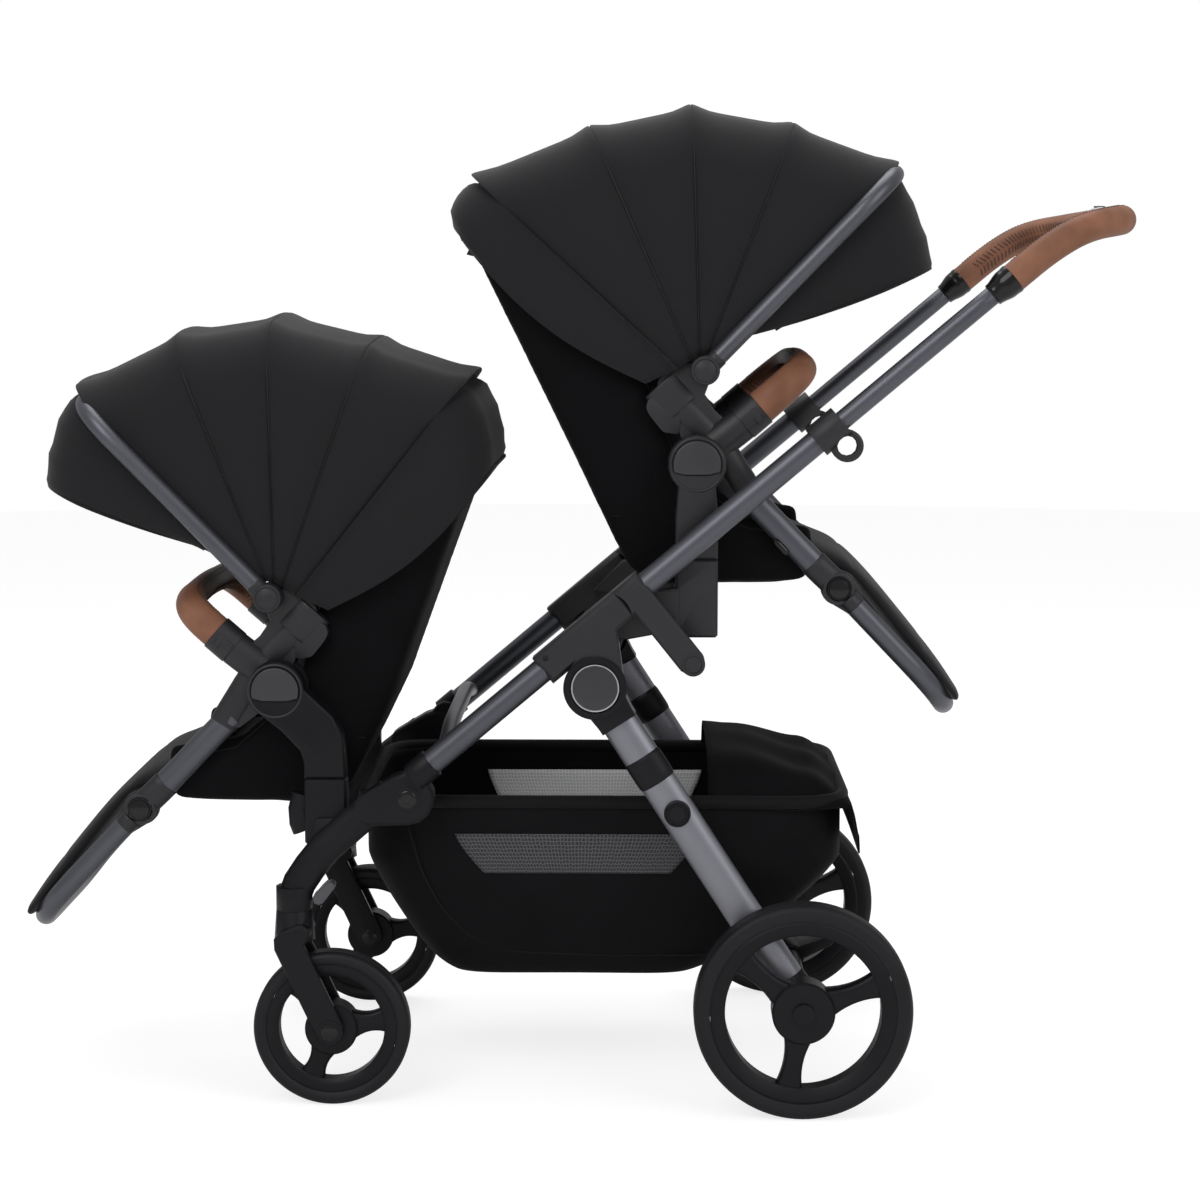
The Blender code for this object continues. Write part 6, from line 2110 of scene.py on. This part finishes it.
    def bumper_path(self, arm: float) -> list[Vector]:
        """The centre line of the bumper bar.

        Args:
            arm: How far it reaches out from its sockets.

        Returns:
            The points from the left socket to the right one.
        """
        y = self.hub_y
        start = Vector((self.stub[0], -y, self.stub[1]))
        turn = math.radians(self.bumper_angle)
        ahead = Vector((math.cos(turn), 0, math.sin(turn)))
        up = Vector((-ahead.z, 0, ahead.x))
        near = [start + ahead * 0.0003, start + ahead * (arm - 0.005) + up * self.bumper_rise * 0.5,
                start + ahead * arm + up * self.bumper_rise + Vector((0, y, 0))]
        far = [Vector((p.x, -p.y, p.z)) for p in reversed(near[:-1])]
        return even_path(rounded_path(near + far, 0.066, 16), 0.005)

    def bumper(self) -> None:
        """The leather bars with their lacing and two stepped end mouldings each."""
        for place, arm in zip(self.places, self.bumper_arms):
            seat = SeatPart(self.palette, [place])
            path = self.bumper_path(arm)
            leather = path[5:-5]
            skin = sleeve("leather", leather, lambda s: self.bumper_radius * self.taper(s), ACROSS, 40,
                          self.bumper_oval)
            seat.spread(skin, "bumper_leather", "brown_leather", "bumper", ("bumper_bar",))
            lace = Lacing(self.palette, leather, self.bumper_radius, self.taper)
            seat.spread(lace.stitches(0.02, 0.98), "bumper_lacing", "lacing_thread", "bumper")
            lace.radius *= self.bumper_oval
            seam = lace.run(Vector((-0.6, 0, 0.8)), 0.03, 0.97)
            seat.spread(seam, "bumper_seam", "lacing_thread", "bumper")
            parts = []
            for side, line in ((-1, path[:7]), (1, list(reversed(path[-7:])))):
                parts.append(sleeve("end", line, self.end_radius, ACROSS, 36, self.bumper_oval))
                middle = line[3]
                plate = [(middle.x + a, middle.z + b) for a, b in
                         ((-0.009, -0.012), (0.003, -0.003), (0.008, -0.009), (0.014, -0.003), (0.002, 0.01),
                          (-0.014, -0.004))]
                face = middle.y + side * (self.end_radius - 0.0006)
                near, far = face - side * 0.004, face + side * 0.0012
                parts.append(flat_part("latch_step", plate, near, far, 0.0006))
            seat.spread(joined("ends", parts), "bumper_ends", "black_moulding", "bumper")

    def leg_loop(self) -> None:
        """The leg rest's loop with its two knuckles."""
        start = polar(self.leg, 0.027, self.loop_angle)
        bend = polar(self.leg, self.loop_length * 0.8, self.loop_angle)
        end = polar(self.leg, self.loop_length, self.loop_angle - 1.5)
        y = self.hub_inner + self.loop_radius
        near = [(start[0], -y, start[1]), (bend[0], -y + 0.01, bend[1]), (end[0], -y + 0.062, end[1])]
        far = [(x, -v, z) for x, v, z in reversed(near)]
        path = even_path(rounded_path(near + far, 0.05, 12), 0.008)
        loop = sleeve("loop", path, self.loop_radius, ACROSS, 32)
        self.spread(loop, "leg_loop", "gunmetal_tube", "legrest", ("legrest_frame",))
        parts = []
        for side in (-1, 1):
            inner, outer = side * (self.hub_inner + 0.0003), side * (self.hub_y - 0.0003)
            outline = round_end(self.leg, 0.0228, self.loop_angle + 60, self.loop_angle + 300, 24)
            outline += round_end(polar(self.leg, 0.03, self.loop_angle), 0.0142, self.loop_angle - 80,
                                 self.loop_angle + 80, 10)
            parts.append(flat_part("tongue", outline, inner, outer, 0.0012))
            line = [polar(self.leg, d, self.loop_angle) for d in between(0.018, 0.032, 4)]
            path = [Vector((u, side * y, w)) for u, w in line]
            parts.append(sleeve("collar", path, 0.0141, ACROSS, 30))
        self.spread(joined("knuckles", parts), "leg_knuckles", "black_moulding", "legrest")

    def knee_cover(self) -> None:
        """The stuffed cover from the seat's front edge over the knee to the end of the leg rest."""
        upper = ((0.0, 0.092, -0.074), (0.12, 0.126, -0.092), (0.26, 0.16, -0.107), (0.4, 0.196, -0.124),
                 (0.54, 0.234, -0.158), (0.72, 0.28, -0.212), (0.88, 0.319, -0.262), (1.0, 0.342, -0.296))
        under = ((0.0, 0.092, -0.138), (0.12, 0.128, -0.1475), (0.26, 0.162, -0.148), (0.4, 0.196, -0.15),
                 (0.54, 0.222, -0.18), (0.72, 0.265, -0.234), (0.88, 0.302, -0.277), (1.0, 0.331, -0.308))

        def line(points: Sequence[tuple[float, float, float]], t: float) -> Vector:
            """A smooth reading of one edge line.

            Args:
                points: Its (share, u, w) points.
                t: The share to read.

            Returns:
                The side view point.
            """
            k = 0
            while k < len(points) - 2 and points[k + 1][0] < t:
                k += 1
            (t0, u0, w0), (t1, u1, w1) = points[k], points[k + 1]
            before, after = points[max(0, k - 1)], points[min(len(points) - 1, k + 2)]
            g = (t - t0) / (t1 - t0)
            made = []
            for a, b, c, d in ((before[1], u0, u1, after[1]), (before[2], w0, w1, after[2])):
                made.append(0.5 * (2 * b + (c - a) * g + (2 * a - 5 * b + 4 * c - d) * g * g
                                   + (3 * b - 3 * c + d - a) * g ** 3))
            return Vector(made)

        rows = [-1.0, -0.8, -0.5, -0.2] + between(0.0, 1.0, 56) + [1.2, 1.5, 1.8, 2.0]

        def place(turn: float, row: float) -> Vector:
            """A point of the cover's skin, with the rows past 0 and 1 closing it.

            Args:
                turn: Share of the way round.
                row: Share of the length, or past an end.

            Returns:
                The point.
            """
            t = min(1.0, max(0.0, row))
            over = max(-row, row - 1.0, 0.0)
            high, low = line(upper, t), line(under, t)
            centre, half = (high + low) / 2, (high - low) / 2
            shrink = math.sqrt(max(0.0, 1 - over * over))
            ahead = (line(upper, min(1.0, t + 0.02)) - line(upper, max(0.0, t - 0.02))).normalized()
            bulge = ahead * (0.01 * math.sin(over * math.pi / 2) * (1 if row > 1 else -1))
            c, d = math.cos(turn * 2 * math.pi), math.sin(turn * 2 * math.pi)
            crease = 0.0022 * (math.exp(-(((t - 0.43) / 0.014) ** 2)) + math.exp(-(((t - 0.8) / 0.012) ** 2)))
            lift = math.copysign(abs(d) ** 0.85, d) * shrink
            half_width = (self.cover_half - 0.004 * over) * (0.86 + 0.14 * shrink)
            side = math.copysign(abs(c) ** 0.34, c) * half_width
            spot = centre + half * lift * (1 - crease / max(half.length, 0.004)) + bulge
            return Vector((spot.x, side, spot.y))

        def measure(turn: float, row: float) -> Point:
            """Metres along the cover and round it."""
            return min(1.0, max(0.0, row)) * 0.36, turn * 0.74

        cover = lattice("knee_cover", between(0.0, 1.0, 96), rows, place, measure, weld=True)
        pieces = self.spread(cover, "knee_cover", "knit_fabric", None, ("legrest_pad",))
        for place_at, piece in zip(self.places, pieces):
            place_at.body("seat")
            place_at.body("legrest")
            place_at.at(0.158, 0, -0.112)
            place_at.at(0.216, 0, -0.156)
            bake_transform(piece)

    def buttons(self) -> None:
        """The half-moon release buttons with softened edges."""
        for place in self.places:
            for side in Side:
                node = place.body(f"button_{side.label}")
                self.palette.refine(node, "satin_button", node, 0.0009, 40.0)

    def latches(self) -> None:
        """The hooks at the top of the back that hold the hood's rear edge."""
        parts = []
        for side in (-1, 1):
            y = side * 0.12
            outline = [(-0.3, 0.29), (-0.284, 0.296), (-0.276, 0.286), (-0.281, 0.27), (-0.288, 0.262),
                       (-0.296, 0.264), (-0.291, 0.274), (-0.303, 0.282)]
            parts.append(flat_part("hook", outline, y - 0.012, y + 0.012, 0.0012))
        self.spread(joined("hooks", parts), "hood_hooks", "gloss_moulding", "seat", leans=True)


# Basket


@dataclass
class Basket:
    """The sagging fabric basket with net windows, hem, rear flap and light lining."""

    palette: Palette
    origin_x: float
    rim: float = 0.389
    front: float = -0.305
    rear: float = 0.322
    half: float = 0.204
    floor: float = 0.151
    floor_front: float = -0.212
    floor_rear: float = 0.15
    floor_half: float = 0.172
    full: float = 0.66
    hem: float = 0.002
    edge: float = 0.016
    wall_length: float = 0.235
    net_share: float = 0.94

    def spread_at(self, level: float) -> float:
        """How far the wall has reached out at a level, from 0 at the floor to 1 where it hangs straight."""
        return 1 - (1 - min(1.0, level / self.full)) ** 1.22

    def half_at(self, level: float) -> float:
        """Half of the bag's width at a level."""
        return self.floor_half + (self.half - self.floor_half) * self.spread_at(level)

    def height_at(self, level: float) -> float:
        """The height of a level."""
        return self.floor + (self.rim - self.hem - self.floor) * level

    def ring(self, turn: float, level: float) -> Vector:
        """A point of the bag's outer skin.

        Args:
            turn: From 0 to 1 round the bag.
            level: From 0 at the floor to 1 at the rim.

        Returns:
            The point in the row frame.
        """
        share = self.spread_at(level)
        front = self.floor_front + (self.front - self.floor_front) * share
        rear = self.floor_rear + (self.rear - self.floor_rear) * share
        half = self.half_at(level)
        middle, length = (front + rear) / 2, (rear - front) / 2
        angle = turn * 2 * math.pi
        c, s = math.cos(angle), math.sin(angle)
        power = 0.22
        x = math.copysign(abs(c) ** power, c)
        y = math.copysign(abs(s) ** power, s)
        scale = 1.0 / max(1e-6, (abs(x) ** 6 + abs(y) ** 6) ** (1 / 6))
        sag = 0.006 * math.sin(math.pi * level) * math.sin(3 * angle) * math.cos(angle)
        dip = 0.01 * math.sin(math.pi * level) * (1 - abs(c)) * (1 - level)
        return Vector((
            self.origin_x + middle + x * scale * length, y * scale * half + sag, self.height_at(level) - dip,
        ))

    def build(self) -> None:
        """Make the bag and everything on it."""
        self.bag()
        self.rail()
        self.mesh_windows()
        self.welts()
        self.flap()

    def bag(self) -> None:
        """The lofted bag with a rounded floor edge."""
        turns = between(0.0, 1.0, 160)
        levels = [-1.0, -0.8, -0.5, -0.2, -0.05] + [0.0, 0.01, 0.03, 0.06] + between(0.1, 1.0, 26)

        def place(turn: float, level: float) -> Vector:
            """Walls above level 0 and the floor below it.

            Args:
                turn: Share of the way round.
                level: From -1 in the floor's middle to 1 at the rim.

            Returns:
                The point.
            """
            spot = self.ring(turn, max(0.0, level))
            middle = Vector((self.origin_x + (self.floor_front + self.floor_rear) / 2, 0, spot.z))
            inward = (middle - spot).normalized() * self.edge
            if level >= 0:
                return spot + inward * math.exp(-level * 18)
            dip = 0.004 * math.sin(math.pi * min(1.0, -level * 1.4) / 2)
            return (spot + inward).lerp(middle, -level) - Vector((0, 0, dip))

        def measure(turn: float, level: float) -> Point:
            """Metres round the bag and up its wall."""
            return turn * 1.62, level * 0.26

        bag = lattice("basket_bag", turns, levels, place, measure)
        bm = bmesh.new()
        bm.from_mesh(bag.data)
        bmesh.ops.remove_doubles(bm, verts=bm.verts, dist=1e-5)
        bm.to_mesh(bag.data)
        bm.free()
        walled(bag, 0.0026)
        self.palette.dress(bag, "basket_cloth", "chassis", ["basket"])

    def rail(self) -> None:
        """The rail loop in its sewn sleeve."""
        x = self.origin_x
        corners = [(x + self.front, -self.half, self.rim), (x + self.rear, -self.half, self.rim),
                   (x + self.rear, self.half, self.rim), (x + self.front, self.half, self.rim)]
        middle = (Vector(corners[0]) + Vector(corners[3])) / 2
        loop = even_path(rounded_path([middle, *corners, middle], 0.07, 12), 0.01)
        hem = sleeve("basket_hem", loop, 0.0085, Vector((0, 0, 1)), 20, cap=False)
        self.palette.dress(hem, "binding_tape", "chassis", ["basket_frame"])

    def mesh_windows(self) -> None:
        """The pale net on the inside of the far wall and the dark net window in the near wall."""
        rows = between(0.0, 1.0, 16)
        length = self.rear - self.front
        for name, finish, side, spans, inset in (
            ("basket_net_near", "dark_net", -1, ((0.195, 0.7), (0.61, 0.83)), -0.0022),
            ("basket_net_far", "dark_net", 1, ((0.195, 0.7), (0.61, 0.83)), -0.0022),
            ("basket_lining_far", "pale_net", 1, ((0.225, 0.72), (0.52, 0.86)), 0.0045),
            ("basket_lining_near", "pale_net", -1, ((0.225, 0.72), (0.52, 0.86)), 0.0045),
        ):
            (a, b), (low, high) = spans

            def place(t: float, level: float) -> Vector:
                """A point beside the wall.

                Args:
                    t: Share of the net's length.
                    level: Share of its height.

                Returns:
                    The point.
                """
                shrink = 0.06 * (1 - level) ** 1.3
                x = self.front + length * (a + shrink + (b - a - 2 * shrink) * t)
                lift = low + (high - low) * level
                return Vector((self.origin_x + x, side * (self.half_at(lift) - inset), self.height_at(lift)))

            def measure(t: float, level: float) -> Point:
                """Metres along and up the net."""
                return t * length * (b - a), level * (high - low) * 0.23

            net = lattice(name, between(0.0, 1.0, 36), rows, place, measure)
            self.palette.dress(walled(net, 0.0012), finish, "chassis")

    def welts(self) -> None:
        """The sewn lines round the side panels."""
        parts = []
        for side in (-1, 1):
            points = []
            for share, level in ((0.1, 0.86), (0.125, 0.62), (0.165, 0.4), (0.225, 0.22), (0.3, 0.145),
                                 (0.5, 0.12), (0.72, 0.125)):
                x = self.origin_x + self.front + (self.rear - self.front) * share
                points.append(Vector((x, side * (self.half_at(level) + 0.0002), self.height_at(level))))
            line = even_path(rounded_path(points, 0.02, 6), 0.006)
            parts.append(sleeve("welt", line, 0.0013, ACROSS, 8))
        self.palette.dress(joined("basket_welts", parts), "binding_tape", "chassis")

    def flap(self) -> None:
        """The gathered cover that rises at the basket's rear."""
        x = self.origin_x

        def place(t: float, s: float) -> Vector:
            """From the peak near the leg, back and down over the rear rim.

            Args:
                t: Share of the way back.
                s: From -1 at the left to 1 at the right.

            Returns:
                The point.
            """
            peak = curve_through(((0.0, 0.436), (0.1, 0.433), (0.45, 0.412), (0.75, 0.386), (0.92, 0.345),
                                  (1.0, 0.322)), t)
            along = 0.145 + (0.34 - 0.145) * math.sin(t * math.pi / 2) ** 0.92
            half = (self.half + 0.004) * (1.0 - 0.03 * t)
            skirt = self.rim - 0.008
            crest = skirt + (peak - skirt) * (1 - abs(s) ** 7) if peak > skirt else peak
            ripple = 0.0026 * math.sin(9 * s + 5 * t) * math.sin(math.pi * t)
            return Vector((x + along, s * half, crest + ripple + 0.006 * (1 - s * s)))

        def measure(t: float, s: float) -> Point:
            """Metres along and across the cover."""
            return t * 0.22, s * 0.21

        cover = lattice("basket_cover", between(0.0, 1.0, 28), between(-1.0, 1.0, 48), place, measure)
        # The cover wears the darker seat fabric instead of the basket cloth; that darker tone is painted shade.
        self.palette.dress(walled(cover, 0.0024), "seat_fabric", "chassis")


# Studio


@dataclass
class Studio:
    """Floor, lamps, white surroundings and the camera of the photograph."""

    chassis_x: float
    aim_x: float = 0.0553
    distance: float = 3.4
    height: float = 1.044
    tilt: float = 7.0
    yaw: float = -0.9
    lens: float = 75.6

    def build(self) -> None:
        """Set up everything round the stroller."""
        self.camera()
        self.floor()
        self.lamps()
        self.sky()
        scene = bpy.context.scene
        scene.view_settings.view_transform = "Standard"

    def camera(self) -> None:
        """The camera, placed and turned as in the photograph."""
        data = bpy.data.cameras.new("camera")
        data.lens = self.lens
        data.sensor_width = 36.0
        data.clip_end = 60.0
        camera = bpy.data.objects.new("camera", data)
        bpy.context.scene.collection.objects.link(camera)
        yaw, tilt = math.radians(self.yaw), math.radians(self.tilt)
        ahead = Vector((math.sin(yaw) * math.cos(tilt), math.cos(yaw) * math.cos(tilt), -math.sin(tilt)))
        right = Vector((math.cos(yaw), -math.sin(yaw), 0.0))
        up = right.cross(ahead)
        turn = Matrix((right, up, -ahead)).transposed().to_4x4()
        place = Matrix.Translation((self.chassis_x + self.aim_x, -self.distance, self.height))
        camera.matrix_world = place @ turn
        bpy.context.scene.camera = camera

    def floor(self) -> None:
        """A pale floor that keeps the soft shadow."""
        bm = bmesh.new()
        bmesh.ops.create_circle(bm, cap_ends=True, segments=96, radius=9.0)
        ground = new_piece("floor", bm)
        material = bpy.data.materials.new("pale_floor")
        material.use_nodes = True
        sheet = NodeSheet(material.node_tree)
        shader = material.node_tree.nodes["Principled BSDF"]
        shader.inputs["Base Color"].default_value = (0.93, 0.93, 0.93, 1.0)
        shader.inputs["Roughness"].default_value = 0.9
        shader.inputs["Specular IOR Level"].default_value = 0.1
        glow = sheet.add("Emission", {"Color": (1.0, 1.0, 1.0, 1.0), "Strength": 1.24})
        path = sheet.add("LightPath")
        share = sheet.math("MULTIPLY", path.outputs["Is Camera Ray"], 0.62)
        mix = sheet.add("MixShader", {0: share, 1: shader.outputs[0], 2: glow.outputs[0]})
        out = material.node_tree.nodes["Material Output"]
        material.node_tree.links.new(mix.outputs[0], out.inputs["Surface"])
        ground.data.materials.append(material)

    def lamps(self) -> None:
        """Three broad soft lamps."""
        for name, place, size, power in (
            ("key_lamp", (-1.6, -3.2, 3.2), 2.6, 70.0),
            ("fill_lamp", (2.6, -2.6, 2.2), 2.4, 38.0),
            ("top_lamp", (0.0, 0.8, 3.6), 3.0, 60.0),
        ):
            data = bpy.data.lights.new(name, "AREA")
            data.shape = "DISK"
            data.size = size
            data.energy = power
            lamp = bpy.data.objects.new(name, data)
            bpy.context.scene.collection.objects.link(lamp)
            lamp.location = place
            aim = Vector((0.0, 0.0, 0.6)) - Vector(place)
            lamp.rotation_euler = aim.to_track_quat("-Z", "Y").to_euler()

    def sky(self) -> None:
        """White surroundings for the eye and for reflections, with a plain level of light."""
        world = bpy.data.worlds.new("studio")
        bpy.context.scene.world = world
        world.use_nodes = True
        sheet = NodeSheet(world.node_tree)
        nodes = world.node_tree.nodes
        nodes["Background"].inputs["Color"].default_value = (1.0, 1.0, 1.0, 1.0)
        path = sheet.add("LightPath")
        seen = sheet.math("MAXIMUM", path.outputs["Is Camera Ray"], path.outputs["Is Transmission Ray"])
        level = sheet.add("MapRange", {0: seen, 3: 0.55, 4: 1.0})
        world.node_tree.links.new(level.outputs[0], nodes["Background"].inputs["Strength"])


def main() -> None:
    """Build the stroller's looks in order and report each piece."""
    logging.basicConfig(level=logging.INFO, format="%(name)s %(message)s")
    palette = Palette()
    chassis = Chassis(palette)
    Studio(chassis.origin_x).build()
    chassis.build()
    HandleFrame(palette, chassis).build()
    RearFrame(palette, chassis.frame_y).build()
    RunningGear(palette).build()
    places = [
        SeatPlace("upper", joint_place("upper_seat_tilt"), 1),
        SeatPlace("lower", joint_place("lower_seat_tilt"), -1, 0.122),
    ]
    SeatStructure(palette, places).build()
    SeatBody(palette, places).build()
    for place, shape in zip(places, (UPPER_HOOD, LOWER_HOOD)):
        Canopy(palette, [place], shape).build()
    Basket(palette, chassis.origin_x).build()


if __name__ == "__main__":
    main()
